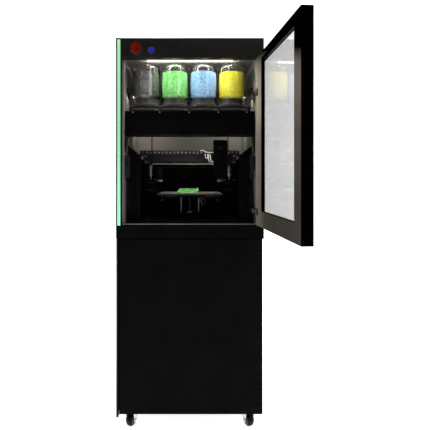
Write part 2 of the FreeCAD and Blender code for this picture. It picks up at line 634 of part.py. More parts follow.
def make_insole():
    """Three-quarter-length insole lying on the plate, printed: dished sole, heel cup and arch flange."""
    low = PLATE_Z[1]
    tall = INSOLE_CUP - low
    heel = Part.makeCylinder(HEEL[2], tall, V(HEEL[0], HEEL[1], low))
    toe = Part.makeCylinder(TOE[2], tall, V(TOE[0], TOE[1], low))
    corners = [V(HEEL[0] - HEEL[2], HEEL[1], low), V(TOE[0] - TOE[2], TOE[1], low),
               V(TOE[0] + TOE[2], TOE[1], low), V(HEEL[0] + HEEL[2], HEEL[1], low)]
    waist = Part.Face(Part.makePolygon(corners + corners[:1])).extrude(V(0, 0, tall))
    sole = joined(waist, heel, toe)
    dish = Part.makeSphere(DISH_R, V(TOE[0], TOE[1] - 8, low + INSOLE_THIN + DISH_R))
    sole = sole.cut(dish)
    right = TOE[0] + TOE[2]
    ear = [V(right - 17, ARCH_Y[0], low), V(right - 7, ARCH_Y[0], low), V(right, ARCH_Y[0], ARCH_TOP),
           V(right - 5, ARCH_Y[0], ARCH_TOP)]
    flange = Part.Face(Part.makePolygon(ear + ear[:1])).extrude(V(0, ARCH_Y[1] - ARCH_Y[0], 0))
    save("printed_insole", joined(sole, flange))


def make_electronics():
    """Power supply, controller and mains inlet in the lower bay."""
    floor = BASE + SHEET
    supply = rounded((-236.0, -121.0), (20.0, 235.0), (floor, floor + 50), 2.0)
    slots = []
    for step in range(7):
        low = -230.0 + 16 * step
        slots.append(box((low, low + 8), (40.0, 200.0), (floor + 47, floor + 51)))
    save("power_supply", supply.cut(slots))
    board = box((-60.0, 140.0), (270.0, 271.6), (540.0, 690.0))
    for x0, z0, wide, tall in ((-40, 560, 40, 30), (20, 640, 60, 34), (70, 570, 46, 46), (-46, 640, 30, 40)):
        board = board.fuse(box((x0, x0 + wide), (262.0, 270.0), (z0, z0 + tall)))
    legs = [rod((x, 271.6, z), (x, REAR_SKIN + 18, z), 3.0) for x in (-54.0, 134.0) for z in (546.0, 684.0)]
    save("controller_board", board.fuse(legs))
    body = box((-224.0, -196.0), (272.0, BACK), (140.0, 160.0))
    flange = rounded((-234.0, -186.0), (BACK, BACK + 3), (136.0, 164.0), 4.0, V(0, 1, 0))
    socket = box((-221.0, -199.0), (BACK - 14, BACK + 4), (143.0, 157.0))
    save("mains_inlet", joined(body, flange).cut(socket))


def castor_fork(x, y, turns):
    """The forked leg of a castor about its upright axis, and where its wheel sits."""
    centre_y = y - CASTOR_TRAIL
    half = WHEEL_WIDE / 2 + 2.5
    boss_top = BASE - FORK_SHEET - 0.3 if turns else BASE - FORK_SHEET
    crown_z = (2 * WHEEL_R + 3, 2 * WHEEL_R + 3 + FORK_SHEET)
    boss = rod((x, y, crown_z[0]), (x, y, boss_top), BOSS_R)
    crown = box((x - half - FORK_SHEET, x + half + FORK_SHEET), (centre_y - 12, y + 17), crown_z)
    pieces = [crown, boss]
    for side in (-1, 1):
        inner = x + side * half
        outer = inner + side * FORK_SHEET
        top = crown_z[1]
        corners = [(y + 17, top), (centre_y - 12, top), (centre_y - 9, 20.0), (centre_y + 11, 19.0)]
        points = [V(min(inner, outer), *corner) for corner in corners]
        face = Part.Face(Part.makePolygon(points + points[:1]))
        pieces.append(face.extrude(V(FORK_SHEET, 0, 0)))
    axle_end = half + FORK_SHEET + 3
    pieces.append(rod((x - axle_end, centre_y, WHEEL_R), (x + axle_end, centre_y, WHEEL_R), AXLE_R))
    fork = joined(*pieces)
    if turns:
        fork = fork.cut(rod((x, y, 50), (x, y, BASE), PIN_R + RUNNING))
    half_tread = WHEEL_WIDE / 2
    tread = rod((x - half_tread, centre_y, WHEEL_R), (x + half_tread, centre_y, WHEEL_R), WHEEL_R)
    rims = [e for e in tread.Edges if e.Closed and e.Length > 100 and len(e.Vertexes) == 1]
    tread = tread.makeFillet(TREAD_CROWN, rims)
    bore = rod((x - 30, centre_y, WHEEL_R), (x + 30, centre_y, WHEEL_R), AXLE_R + RUNNING)
    return fork, tread.cut(bore)


def make_castors():
    """Front swivel castors and rear fixed castors."""
    mounts = []
    for side, name in ((-1, "left"), (1, "right")):
        x = side * CASTOR_X
        for y in (CASTOR_FRONT_Y, CASTOR_REAR_Y):
            turns = y == CASTOR_FRONT_Y
            fork, wheel = castor_fork(x, y, turns)
            plate = rounded((x - 30, x + 30), (y - 27, y + 27), (BASE - FORK_SHEET, BASE), 5.0)
            if turns:
                centre = V(x, y, 0)
                pin = rod((x, y, 2 * WHEEL_R + 1.5), (x, y, BASE - 1), PIN_R)
                save(f"castor_fork_{name}", turned(fork, centre, side * CASTOR_YAW))
                save(f"front_wheel_{name}", turned(wheel, centre, side * CASTOR_YAW))
                mounts.append(joined(plate, pin))
            else:
                mounts.append(joined(plate, fork))
                save(f"rear_wheel_{name}", wheel)
    save("castor_mounts", *mounts)


def main():
    os.makedirs("parts", exist_ok=True)
    make_casing()
    make_led_bars()
    make_chamber()
    make_upper_door()
    make_lower_door()
    make_buttons()
    make_wall_fittings()
    make_feed_box()
    make_jars()
    make_printer_frame()
    make_drives()
    make_gantry()
    make_print_head()
    make_bed()
    make_electronics()
    make_castors()


main()
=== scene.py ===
"""The looks of the cabinet pellet printer: studio, materials and detail pieces round the CAD frame."""

import math
import random

import bmesh
import bpy
from mathutils import Matrix, Vector, noise


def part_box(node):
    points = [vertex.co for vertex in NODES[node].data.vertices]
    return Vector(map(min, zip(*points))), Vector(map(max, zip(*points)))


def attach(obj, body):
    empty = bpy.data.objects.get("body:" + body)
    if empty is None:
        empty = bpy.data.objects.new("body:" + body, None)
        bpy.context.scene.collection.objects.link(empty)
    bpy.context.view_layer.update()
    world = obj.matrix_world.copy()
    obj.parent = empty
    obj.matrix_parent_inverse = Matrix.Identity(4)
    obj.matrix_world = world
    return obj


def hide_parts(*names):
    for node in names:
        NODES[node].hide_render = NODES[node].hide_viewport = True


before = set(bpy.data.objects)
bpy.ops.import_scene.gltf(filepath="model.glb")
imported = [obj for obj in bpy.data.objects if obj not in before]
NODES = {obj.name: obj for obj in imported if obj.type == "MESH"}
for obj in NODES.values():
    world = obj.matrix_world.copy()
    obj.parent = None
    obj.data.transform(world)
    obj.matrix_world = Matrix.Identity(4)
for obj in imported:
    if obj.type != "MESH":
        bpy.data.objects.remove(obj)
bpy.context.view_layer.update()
SCENE = bpy.context.scene

# Places read from the frame, in metres
BAND_LOW, BAND_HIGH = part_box("front_band")
SIDE_LOW, SIDE_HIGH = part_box("side_panels")
STRIP_LOW, STRIP_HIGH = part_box("ceiling_led_strip")
LINER_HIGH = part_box("chamber_liner")[1]
FRONT_Y = BAND_LOW.y
TOP_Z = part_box("header_fascia")[1].z
WALL_FLANGE = 0.008
WALL_X = LINER_HIGH.x - WALL_FLANGE
CEILING_Z = STRIP_HIGH.z

# Sizes that the frame's boxes don't give, in metres
JAR_COUNT = 4
JAR_PITCH = 0.1225
JAR_MIDDLE = -0.0035
CASTOR_YAW = math.radians(20.0)

TAU = 2 * math.pi
SIDES = (-1.0, 1.0)  # left and right, as factors of X


# ---- materials

class Shader:
    """One procedural material, built with short calls."""

    def __init__(self, name):
        self.material = bpy.data.materials.new(name)
        self.material.use_nodes = True
        self.tree = self.material.node_tree
        self.bsdf = self.tree.nodes["Principled BSDF"]
        self.coord = self.add("ShaderNodeTexCoord").outputs["Object"]

    def add(self, kind, inputs=None, **settings):
        """A new node with its settings and its constant input values."""
        node = self.tree.nodes.new(kind)
        for key, value in settings.items():
            setattr(node, key, value)
        for key, value in (inputs or {}).items():
            node.inputs[key].default_value = value
        return node

    def link(self, output, socket):
        self.tree.links.new(output, socket)

    def feed(self, name, output):
        """Drives one of the shader's own sockets."""
        self.link(output, self.bsdf.inputs[name])

    def stretched(self, stretch):
        """Object coordinates stretched along the axes."""
        mapping = self.add("ShaderNodeMapping", {"Scale": stretch})
        self.link(self.coord, mapping.inputs["Vector"])
        return mapping.outputs["Vector"]

    def noise(self, scale, detail=3.0, stretch=None, roughness=0.55):
        node = self.add("ShaderNodeTexNoise", {"Scale": scale, "Detail": detail, "Roughness": roughness})
        self.link(self.stretched(stretch) if stretch else self.coord, node.inputs["Vector"])
        return node.outputs["Fac"]

    def cells(self, scale, output="Distance"):
        node = self.add("ShaderNodeTexVoronoi", {"Scale": scale})
        self.link(self.coord, node.inputs["Vector"])
        return node.outputs[output]

    def wave(self, scale, distortion):
        """Bands across Z."""
        node = self.add("ShaderNodeTexWave", {"Scale": scale, "Distortion": distortion},
                        bands_direction="Z")
        self.link(self.coord, node.inputs["Vector"])
        return node.outputs["Fac"]

    def ramp(self, value, stops):
        """Colours at places along a value, from (place, colour) pairs."""
        node = self.add("ShaderNodeValToRGB")
        elements = node.color_ramp.elements
        while len(elements) < len(stops):
            elements.new(0.5)
        for element, (place, colour) in zip(elements, stops):
            element.position = place
            element.color = (*colour, 1.0) if len(colour) == 3 else colour
        self.link(value, node.inputs["Fac"])
        return node.outputs["Color"]

    def clouded(self, value, colour, contrast):
        """A colour that a noise value makes darker and lighter."""
        return self.ramp(value, [(0.3, scaled(colour, 1 - contrast)), (0.7, scaled(colour, 1 + contrast))])

    def remap(self, value, low, high, start=0.3, end=0.7):
        """A value stretched from start and end to low and high, and held there beyond them."""
        spans = {"From Min": start, "From Max": end, "To Min": low, "To Max": high}
        node = self.add("ShaderNodeMapRange", spans)
        self.link(value, node.inputs["Value"])
        return node.outputs["Result"]

    def math(self, operation, first, second):
        node = self.add("ShaderNodeMath", operation=operation)
        for place, value in enumerate((first, second)):
            if isinstance(value, (int, float)):
                node.inputs[place].default_value = value
            else:
                self.link(value, node.inputs[place])
        return node.outputs["Value"]

    def axis(self, letter):
        """One object coordinate."""
        node = self.add("ShaderNodeSeparateXYZ")
        self.link(self.coord, node.inputs["Vector"])
        return node.outputs[letter]

    def bump(self, heights):
        """Bumps on top of each other, from (height, strength, distance) triples."""
        last = None
        for height, strength, distance in heights:
            node = self.add("ShaderNodeBump", {"Strength": strength, "Distance": distance})
            self.link(height, node.inputs["Height"])
            if last:
                self.link(last, node.inputs["Normal"])
            last = node.outputs["Normal"]
        self.feed("Normal", last)

    def peel(self, grain, strength):
        """The orange peel of paint: fine bumps on broad, faint ones."""
        self.bump([(self.noise(grain, 2.0), strength, 0.0006), (self.noise(60.0, 2.0), 0.02, 0.002)])

    def set(self, **values):
        """Constant values on the shader's own sockets."""
        names = {"metal": "Metallic", "rough": "Roughness", "ior": "IOR", "clear": "Transmission Weight",
                 "coat": "Coat Weight", "coat_rough": "Coat Roughness", "colour": "Base Color",
                 "glow": "Emission Color", "glow_strength": "Emission Strength", "alpha": "Alpha",
                 "specular": "Specular IOR Level", "sheen": "Sheen Weight",
                 "subsurface": "Subsurface Weight"}
        for key, value in values.items():
            if key in ("colour", "glow"):
                value = (*value, 1.0)
            self.bsdf.inputs[names[key]].default_value = value


def scaled(colour, factor):
    return tuple(min(1.0, c * factor) for c in colour)


def painted(name, colour, rough, cloud=7.0, contrast=0.35, grain=900.0, peel=0.06, **extra):
    """Powder-coated or painted sheet: clouded colour, uneven gloss and orange peel."""
    s = Shader(name)
    s.feed("Base Color", s.clouded(s.noise(cloud, 5.0), colour, contrast))
    s.feed("Roughness", s.remap(s.noise(cloud * 3, 4.0), rough - 0.06, rough + 0.08))
    s.peel(grain, peel)
    s.set(**extra)
    return s.material


def drawn_metal(name, colour, rough, along, metal=1.0, lines=260.0, depth=0.05, **extra):
    """Extruded, brushed or ground metal with fine lines along one axis."""
    s = Shader(name)
    stretch = [lines if axis != along else lines * 0.02 for axis in "XYZ"]
    grain = s.noise(1.0, 4.0, stretch)
    s.feed("Base Color", s.ramp(grain, [(0.25, scaled(colour, 0.75)), (0.75, scaled(colour, 1.2))]))
    s.feed("Roughness", s.remap(s.noise(14.0, 3.0), rough - 0.07, rough + 0.1))
    s.bump([(grain, depth, 0.0005)])
    s.set(metal=metal, **extra)
    return s.material


def moulded(name, colour, rough, grain=1400.0, depth=0.12, contrast=0.12, **extra):
    """Moulded plastic or rubber with a fine spark-eroded grain."""
    s = Shader(name)
    s.feed("Base Color", s.clouded(s.noise(22.0, 4.0), colour, contrast))
    s.feed("Roughness", s.remap(s.noise(90.0, 3.0), rough - 0.05, rough + 0.07))
    s.bump([(s.noise(grain, 2.0), depth, 0.0004)])
    s.set(**extra)
    return s.material


def clear(name, colour, rough, spread=0.02, ior=1.45, smears=40.0):
    """Glass or clear plastic with faint smears in its gloss."""
    s = Shader(name)
    s.feed("Roughness", s.remap(s.noise(smears, 5.0), rough, rough + spread))
    tint = s.ramp(s.noise(6.0, 2.0), [(0.3, scaled(colour, 0.985)), (0.7, colour)])
    s.feed("Base Color", tint)
    s.set(clear=1.0, ior=ior)
    return s.material


def painted_light_by_facing(name, facing, face_colour, other_colour, rough, contrast=0.15, shade=None, **extra):
    """Paint or metal with painted light and shade: one colour on the faces that look one way, such as "-X",
    as lit or shaded, and another elsewhere.

    shade is a function of the shader that gives how far the first colour shows, from 0 to 1.
    """
    s = Shader(name)
    normal = s.add("ShaderNodeSeparateXYZ")
    s.link(s.add("ShaderNodeTexCoord").outputs["Normal"], normal.inputs["Vector"])
    if facing[0] == "-":
        chosen = s.math("LESS_THAN", normal.outputs[facing[1]], -0.8)
    else:
        chosen = s.math("GREATER_THAN", normal.outputs[facing[1]], 0.8)
    if shade:
        chosen = s.math("MULTIPLY", chosen, shade(s))
    clouds = s.noise(5.0, 5.0)
    mix = s.add("ShaderNodeMix", data_type="RGBA")
    s.link(chosen, mix.inputs["Factor"])
    colour_inputs = [socket for socket in mix.inputs if socket.type == "RGBA"]
    for colour, socket in zip((other_colour, face_colour), colour_inputs):
        s.link(s.clouded(clouds, colour, contrast), socket)
    mixed = next(socket for socket in mix.outputs if socket.type == "RGBA")
    s.feed("Base Color", mixed)
    s.feed("Roughness", s.remap(s.noise(15.0, 4.0), rough - 0.06, rough + 0.06))
    s.peel(900.0, 0.06)
    s.set(**extra)
    return s.material


def door_painted_light(s):
    """Painted light and shadow on the door's inner face: palest near the hinge and less lower down, as the
    ceiling strip's light falls off, and black above a line that drops towards the free end, the header's
    painted shadow."""
    drop = 0.254
    lit_below, shadowed_above = TOP_Z - 0.105, TOP_Z - 0.055
    low, middle, high = 0.94, 1.165, 1.335
    height = s.axis("Z")
    from_hinge = s.math("SUBTRACT", FRONT_Y, s.axis("Y"))
    level = s.math("ADD", height, s.math("MULTIPLY", from_hinge, drop))
    top = s.remap(level, 1.0, 0.0, lit_below, shadowed_above)
    near = s.remap(from_hinge, 1.0, 0.36, 0.02, 0.15)
    rising = s.math("ADD", s.remap(height, 0.36, 0.56, low, middle), s.remap(height, 0.0, 0.65, middle, high))
    return s.math("MULTIPLY", top, s.math("MAXIMUM", near, rising))


def green_light(name):
    """Glowing diffuser: mint core, a yellower top end, faint diode spots along it."""
    s = Shader(name)
    height = s.axis("Z")
    spots = s.wave(14.0, 0.4)
    place = s.remap(height, 0.0, 1.0, BAND_HIGH.z, TOP_Z)
    tint = s.ramp(place, [(0.0, (0.32, 0.82, 0.56)), (0.5, (0.24, 0.60, 0.36)), (0.95, (0.27, 0.63, 0.38)),
                          (1.0, (0.34, 0.70, 0.24))])
    s.feed("Emission Color", tint)
    s.feed("Emission Strength", s.remap(spots, 1.22, 1.29, 0.0, 1.0))
    s.bump([(s.noise(500.0), 0.05, 0.0005)])
    s.set(rough=0.4, colour=(0.02, 0.05, 0.03), specular=0.2)
    return s.material


def glowing(name, scale, warm, white, strength):
    """Glowing diodes, white mottled with a warmer white."""
    s = Shader(name)
    s.feed("Emission Color", s.ramp(s.noise(scale), [(0.3, warm), (0.7, white)]))
    s.set(glow_strength=strength, rough=0.3)
    return s.material


def pellet_plastic(name, light, dark):
    """Plastic pellets: each cell its own shade, a soft gloss."""
    s = Shader(name)
    grains = 200.0
    shade = s.cells(grains, "Color")
    split = s.add("ShaderNodeSeparateColor")
    s.link(shade, split.inputs["Color"])
    tint = s.ramp(split.outputs["Red"], [(0.15, dark), (0.5, light), (0.9, scaled(light, 1.25))])
    s.feed("Base Color", tint)
    s.feed("Roughness", s.remap(split.outputs["Green"], 0.25, 0.5, 0.0, 1.0))
    s.bump([(s.cells(grains), 0.8, 0.0018)])
    s.set(specular=0.5)
    return s.material


def printed_plastic(name):
    """Layered print in green with blue and white specks and darker streaks."""
    s = Shader(name)
    fleck = s.noise(120.0, 3.0, (1.0, 0.45, 1.0))
    tint = s.ramp(fleck, [(0.30, (0.14, 0.20, 0.78)), (0.38, (0.16, 0.66, 0.18)), (0.50, (0.36, 0.98, 0.26)),
                          (0.60, (0.26, 0.84, 0.24)), (0.68, (0.78, 0.96, 0.92)), (0.74, (0.26, 0.32, 0.90))])
    s.feed("Base Color", tint)
    layers = s.wave(320.0, 0.6)
    s.feed("Roughness", s.remap(fleck, 0.3, 0.5))
    s.bump([(layers, 0.3, 0.0006), (s.noise(400.0), 0.1, 0.0005)])
    return s.material


MATERIALS = {
    "casing": painted("casing_black", (0.0020, 0.0019, 0.0017), 0.42, specular=0.03),
    "casing_low": painted("casing_matte_black", (0.0019, 0.0019, 0.0018), 0.5, cloud=11.0, contrast=0.5,
                          specular=0.035),
    # A lighter copy of the black casing paint: painted light, for the header that shows brighter than the
    # band.
    "header": painted("header_black", (0.0108, 0.0102, 0.0092), 0.40, specular=0.10),
    # Painted light and shadow: the pale warm grey on the door's inner faces stands in for the strip light and
    # the grazing sheen on the black paint. It fades down and away from the hinge and is black at the top in
    # the header's shadow; elsewhere the door is its own black.
    "door": painted_light_by_facing("door_black", "-X", (0.165, 0.142, 0.120), (0.0004, 0.0004, 0.0004), 0.45,
                     shade=door_painted_light, specular=0.0),
    # Painted light: the lip of the chamber floor that faces the door is painted near white, as lit; the rest
    # of the sheet is dark.
    "floor": painted_light_by_facing("floor_sheet", "-Y", (0.90, 0.86, 0.79), (0.020, 0.0195, 0.018), 0.5, specular=0.10),
    "liner": painted("liner_grey", (0.265, 0.252, 0.228), 0.40, contrast=0.08, metal=0.35),
    "black_metal": drawn_metal("anodised_black", (0.0012, 0.0012, 0.0011), 0.40, "Z", metal=0.0,
                               specular=0.05),
    # A lighter copy of anodised_black: painted light, for the gantry beam that shows brighter than the rest
    # of the frame.
    "beam_metal": drawn_metal("anodised_black_cross", (0.010, 0.0095, 0.0085), 0.34, "X", metal=0.0,
                              specular=0.22),
    "grey_trim": drawn_metal("trim_grey", (0.0042, 0.0040, 0.0038), 0.45, "Z", metal=0.0, specular=0.12),
    "cover_grey": drawn_metal("cover_grey", (0.022, 0.0215, 0.020), 0.42, "Z", metal=0.0, specular=0.15),
    "steel": drawn_metal("ground_steel", (0.42, 0.41, 0.40), 0.32, "X"),
    "dull_rod": drawn_metal("dull_rod", (0.30, 0.29, 0.27), 0.3, "X", depth=0.02),
    # Painted shade: the build plate's top is its grey steel, and its edges and underside are painted near
    # black, as shaded.
    "plate_steel": painted_light_by_facing("plate_grey", "+Z", (0.36, 0.34, 0.315), (0.012, 0.012, 0.011), 0.42, metal=0.3),
    "screw_steel": drawn_metal("screw_steel", (0.45, 0.44, 0.42), 0.3, "X", lines=700.0, depth=0.3),
    "lead_steel": drawn_metal("lead_steel", (0.05, 0.05, 0.048), 0.35, "X", lines=700.0, depth=0.4),
    "nickel": painted("dark_nickel", (0.15, 0.145, 0.135), 0.34, metal=0.9, cloud=60.0, contrast=0.4,
                      peel=0.04),
    "zinc": painted("bright_zinc", (0.80, 0.79, 0.76), 0.30, metal=0.9, cloud=30.0, contrast=0.12, peel=0.04),
    "silver": drawn_metal("turned_silver", (0.62, 0.61, 0.59), 0.26, "Z", lines=500.0),
    "brass": drawn_metal("machined_brass", (0.62, 0.43, 0.16), 0.28, "X", lines=500.0),
    "door_glass": clear("door_glass", (0.485, 0.488, 0.485), 0.0, 0.01, 1.29),
    "jar_plastic": clear("jar_plastic", (0.97, 0.975, 0.97), 0.0),
    "rubber": moulded("rubber_black", (0.012, 0.012, 0.012), 0.6),
    "belt": moulded("belt_black", (0.02, 0.02, 0.02), 0.7, grain=500.0, depth=0.5),
    "tyre": moulded("tyre_black", (0.0012, 0.0012, 0.0013), 0.20, grain=600.0, depth=0.04, specular=0.16),
    "black_plastic": moulded("plastic_black", (0.006, 0.006, 0.0055), 0.42, specular=0.25),
    "chain_plastic": moulded("plastic_chain", (0.022, 0.022, 0.021), 0.36),
    "grey_plastic": moulded("plastic_grey", (0.026, 0.0245, 0.022), 0.36),
    "collar_plastic": moulded("plastic_collar", (0.060, 0.056, 0.052), 0.34),
    # The jars' arches are painted white: a painted highlight, standing in for the strip light's gleam on
    # clear moulded arches.
    "arch_highlight_white": moulded("arch_painted_highlight", (0.80, 0.80, 0.78), 0.22, specular=0.8),
    "hose_grey": moulded("hose_grey", (0.16, 0.155, 0.145), 0.35),
    "diode": glowing("diode_light", 500.0, (1.0, 0.93, 0.80), (1.0, 0.99, 0.95), 14.0),
    "hose_white": moulded("hose_white", (0.62, 0.60, 0.56), 0.32),
    "red": moulded("button_red", (0.125, 0.003, 0.002), 0.42, contrast=0.3, specular=0.10),
    "blue": moulded("button_blue", (0.018, 0.020, 0.36), 0.3, contrast=0.25, specular=0.1,
                    glow=(0.03, 0.035, 1.0), glow_strength=0.06),
    "circuit": moulded("solder_mask", (0.012, 0.10, 0.045), 0.35),
    "green_light": green_light("green_light"),
    "white_light": glowing("white_light", 300.0, (1.0, 0.96, 0.88), (1.0, 1.0, 0.98), 1.2),
    "print": printed_plastic("printed_plastic"),
    "pellet_grey": pellet_plastic("pellets_grey", (0.100, 0.100, 0.096), (0.036, 0.036, 0.036)),
    "pellet_green": pellet_plastic("pellets_green", (0.21, 0.68, 0.17), (0.12, 0.50, 0.11)),
    "pellet_blue": pellet_plastic("pellets_blue", (0.30, 0.52, 0.80), (0.17, 0.37, 0.66)),
    "pellet_yellow": pellet_plastic("pellets_yellow", (1.0, 0.93, 0.030), (0.93, 0.78, 0.018)),
}

NODE_MATERIALS = {
    "casing": ["side_panels", "top_panel", "back_panel", "base_panel", "front_band", "feed_box",
               "feed_box_cover"],
    "header": ["header_fascia"],
    "casing_low": ["lower_door_panel"],
    "door": ["door_frame"],
    "liner": ["chamber_liner", "chamber_back_wall"],
    "floor": ["chamber_floor"],
    "black_metal": ["led_profile", "printer_frame", "drive_mounts", "stepper_motors", "hopper_tower",
                    "bed_bracket"],
    "beam_metal": ["gantry_beam"],
    "grey_trim": ["lower_door_pull"],
    "steel": ["y_rails", "feed_shaft"],
    "plate_steel": ["build_plate"],
    "screw_steel": ["extruder_screw"],
    "lead_steel": ["lead_screw"],
    "dull_rod": ["gantry_rod", "guide_rods"],
    "nickel": ["hinge_arms", "hinge_cups", "control_bezels"],
    "zinc": ["castor_mounts", "castor_fork_left", "castor_fork_right"],
    "silver": ["drive_coupling_left", "drive_coupling_right", "power_supply"],
    "brass": ["hot_end", "lead_nut"],
    "door_glass": ["door_glass"],
    "jar_plastic": ["jars"],
    "rubber": ["door_gasket"],
    "belt": ["y_belts"],
    "tyre": ["front_wheel_left", "front_wheel_right", "rear_wheel_left", "rear_wheel_right"],
    "black_plastic": ["door_lock", "wall_conduits", "mains_inlet", "jar_tray"],
    "chain_plastic": ["cable_chain"],
    "grey_plastic": ["jar_caps"],
    "red": ["estop_button"],
    "blue": ["start_button"],
    "circuit": ["controller_board"],
    "green_light": ["led_diffuser"],
    "white_light": ["ceiling_led_strip"],
    "print": ["printed_insole"],
    "pellet_green": ["pellets"],
}


def dress_cad():
    for material, nodes in NODE_MATERIALS.items():
        for node in nodes:
            slots = NODES[node].data.materials
            slots.clear()
            slots.append(MATERIALS[material])


# ---- studio

CAMERA_HEIGHT = 1.036
CAMERA_BACK = 1.834
CAMERA_LENS = 37.91
CAMERA_SHIFT = (0.0583, -0.0881)
WHITE = (1.0, 1.0, 1.0)
WARM = (1.0, 0.96, 0.89)
GREEN = (0.10, 1.0, 0.32)


def add_camera():
    data = bpy.data.cameras.new("photo_camera")
    camera = bpy.data.objects.new("photo_camera", data)
    SCENE.collection.objects.link(camera)
    camera.location = (0.0, FRONT_Y - CAMERA_BACK, CAMERA_HEIGHT)
    camera.rotation_euler = (math.radians(90), 0, 0)
    data.lens = CAMERA_LENS
    data.sensor_width = 36.0
    data.shift_x, data.shift_y = CAMERA_SHIFT
    data.clip_start = 0.05
    SCENE.camera = camera


def add_area(name, place, target, size, power, colour=WHITE, mirrored=True, spread=180.0):
    """A rectangular lamp; one that isn't mirrored doesn't show in glossy surfaces."""
    data = bpy.data.lights.new(name, "AREA")
    data.shape = "RECTANGLE"
    data.size, data.size_y = size
    data.energy = power
    data.spread = math.radians(spread)
    data.color = colour
    light = bpy.data.objects.new(name, data)
    SCENE.collection.objects.link(light)
    light.visible_camera = False
    light.visible_glossy = mirrored
    light.location = place
    light.rotation_euler = (Vector(target) - Vector(place)).to_track_quat("-Z", "Y").to_euler()


def inner_lamp(name, place, target, size, power, colour=WARM, spread=180.0):
    """A small lamp inside the cabinet that doesn't show in glossy surfaces."""
    add_area(name, place, target, size, power, colour, False, spread)


def stage_material():
    s = Shader("studio_white")
    s.feed("Base Color", s.ramp(s.noise(0.8, 2.0), [(0.3, (0.88, 0.88, 0.88)), (0.7, (0.92, 0.92, 0.92))]))
    s.set(rough=0.9, glow=WHITE, glow_strength=0.93, specular=0.1)
    return s.material


def add_stage():
    """Pale floor that curves up into a backdrop behind the cabinet."""
    bend_y, bend_r, wall_top = 2.2, 1.2, 6.0
    points = [(-8.0, 0.0), (bend_y, 0.0)]
    for step in range(1, 11):
        angle = math.radians(9 * step)
        points.append((bend_y + bend_r * math.sin(angle), bend_r - bend_r * math.cos(angle)))
    points.append((bend_y + bend_r, wall_top))
    mesh = bpy.data.meshes.new("studio")
    vertices = [(x, y, z) for y, z in points for x in (-9.0, 9.0)]
    faces = [(2 * i, 2 * i + 1, 2 * i + 3, 2 * i + 2) for i in range(len(points) - 1)]
    mesh.from_pydata(vertices, [], faces)
    mesh.materials.append(stage_material())
    studio = bpy.data.objects.new("studio", mesh)
    SCENE.collection.objects.link(studio)


def add_world():
    world = bpy.data.worlds.new("studio_world")
    world.use_nodes = True
    background = world.node_tree.nodes["Background"]
    background.inputs["Color"].default_value = (*WHITE, 1.0)
    background.inputs["Strength"].default_value = 0.16
    SCENE.world = world


def add_room_lights():
    add_area("key_light", (2.2, -3.0, 2.6), (0, 0, 0.9), (1.6, 1.6), 34)
    add_area("fill_light", (-2.6, -2.6, 2.0), (0, 0, 0.9), (1.6, 1.6), 9)
    add_area("back_light", (0.5, 2.6, 3.4), (0, 0.3, 1.0), (2.4, 1.6), 70)


def add_chamber_lights():
    """The light of the ceiling strip, what the walls throw back, and the glow of the green bar."""
    strip = (STRIP_LOW + STRIP_HIGH) / 2
    rear = LINER_HIGH.y
    inner_lamp("strip_light", strip - Vector((0, 0, 0.007)), strip + Vector((0, 0.10, -1)),
               (0.36, 0.006), 4.0)
    inner_lamp("ceiling_wash", (0, strip.y + 0.02, strip.z - 0.014), (0, strip.y + 0.12, strip.z + 0.1),
               (0.40, 0.012), 0.25)
    inner_lamp("rear_wash", (0, 0.03, 1.31), (0, rear, 1.20), (0.30, 0.03), 0.03)
    for side in SIDES:
        inner_lamp("rear_side_wash", (side * 0.225, 0.06, 1.31), (side * 0.235, rear, 1.20),
                   (0.06, 0.03), 0.34)
        inner_lamp("bracket_light", (side * (WALL_X - 0.010), JAR_Y + 0.03, CAP_LOW.z + 0.033),
                   (side * WALL_X, JAR_Y, CAP_LOW.z - 0.03), (0.02, 0.05), 0.07)
    inner_lamp("jar_wash", (0, JAR_LOW.y - 0.024, CEILING_Z - 0.016), (0, JAR_Y, JAR_LOW.z),
               (0.38, 0.008), 2.2, spread=115.0)
    inner_lamp("plate_light", (0, -0.12, 1.205), (0, 0.04, 0.96), (0.22, 0.05), 0.20, spread=80.0)
    low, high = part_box("led_diffuser")
    middle = (low.z + high.z) / 2
    inner_lamp("bar_glow", (high.x + 0.0015, FRONT_Y - 0.006, middle), (high.x + 1.0, FRONT_Y + 0.12, middle),
               (0.75, 0.004), 0.10, GREEN)
    inner_lamp("wall_glow", (-WALL_X + 0.004, FRONT_Y + 0.040, 1.07), (-WALL_X, FRONT_Y + 0.4, 1.05),
               (0.006, 0.11), 0.003, GREEN)


# ---- mesh tools

def add_block(bm, low, high, bevel=0.0):
    """A block between two corners, with bevelled edges."""
    low, high = Vector(low), Vector(high)
    verts = bmesh.ops.create_cube(bm, size=1.0)["verts"]
    middle, size = (low + high) / 2, high - low
    for vert in verts:
        vert.co = Vector([middle[i] + vert.co[i] * size[i] for i in range(3)])
    if bevel:
        edges = list({edge for vert in verts for edge in vert.link_edges})
        bmesh.ops.bevel(bm, geom=edges, offset=bevel, segments=2, profile=0.6, affect="EDGES")


def add_side_block(bm, side, low, high, bevel):
    """A block given for the right side; on the left side it is mirrored."""
    x0, x1 = sorted((side * low[0], side * high[0]))
    add_block(bm, (x0, *low[1:]), (x1, *high[1:]), bevel)


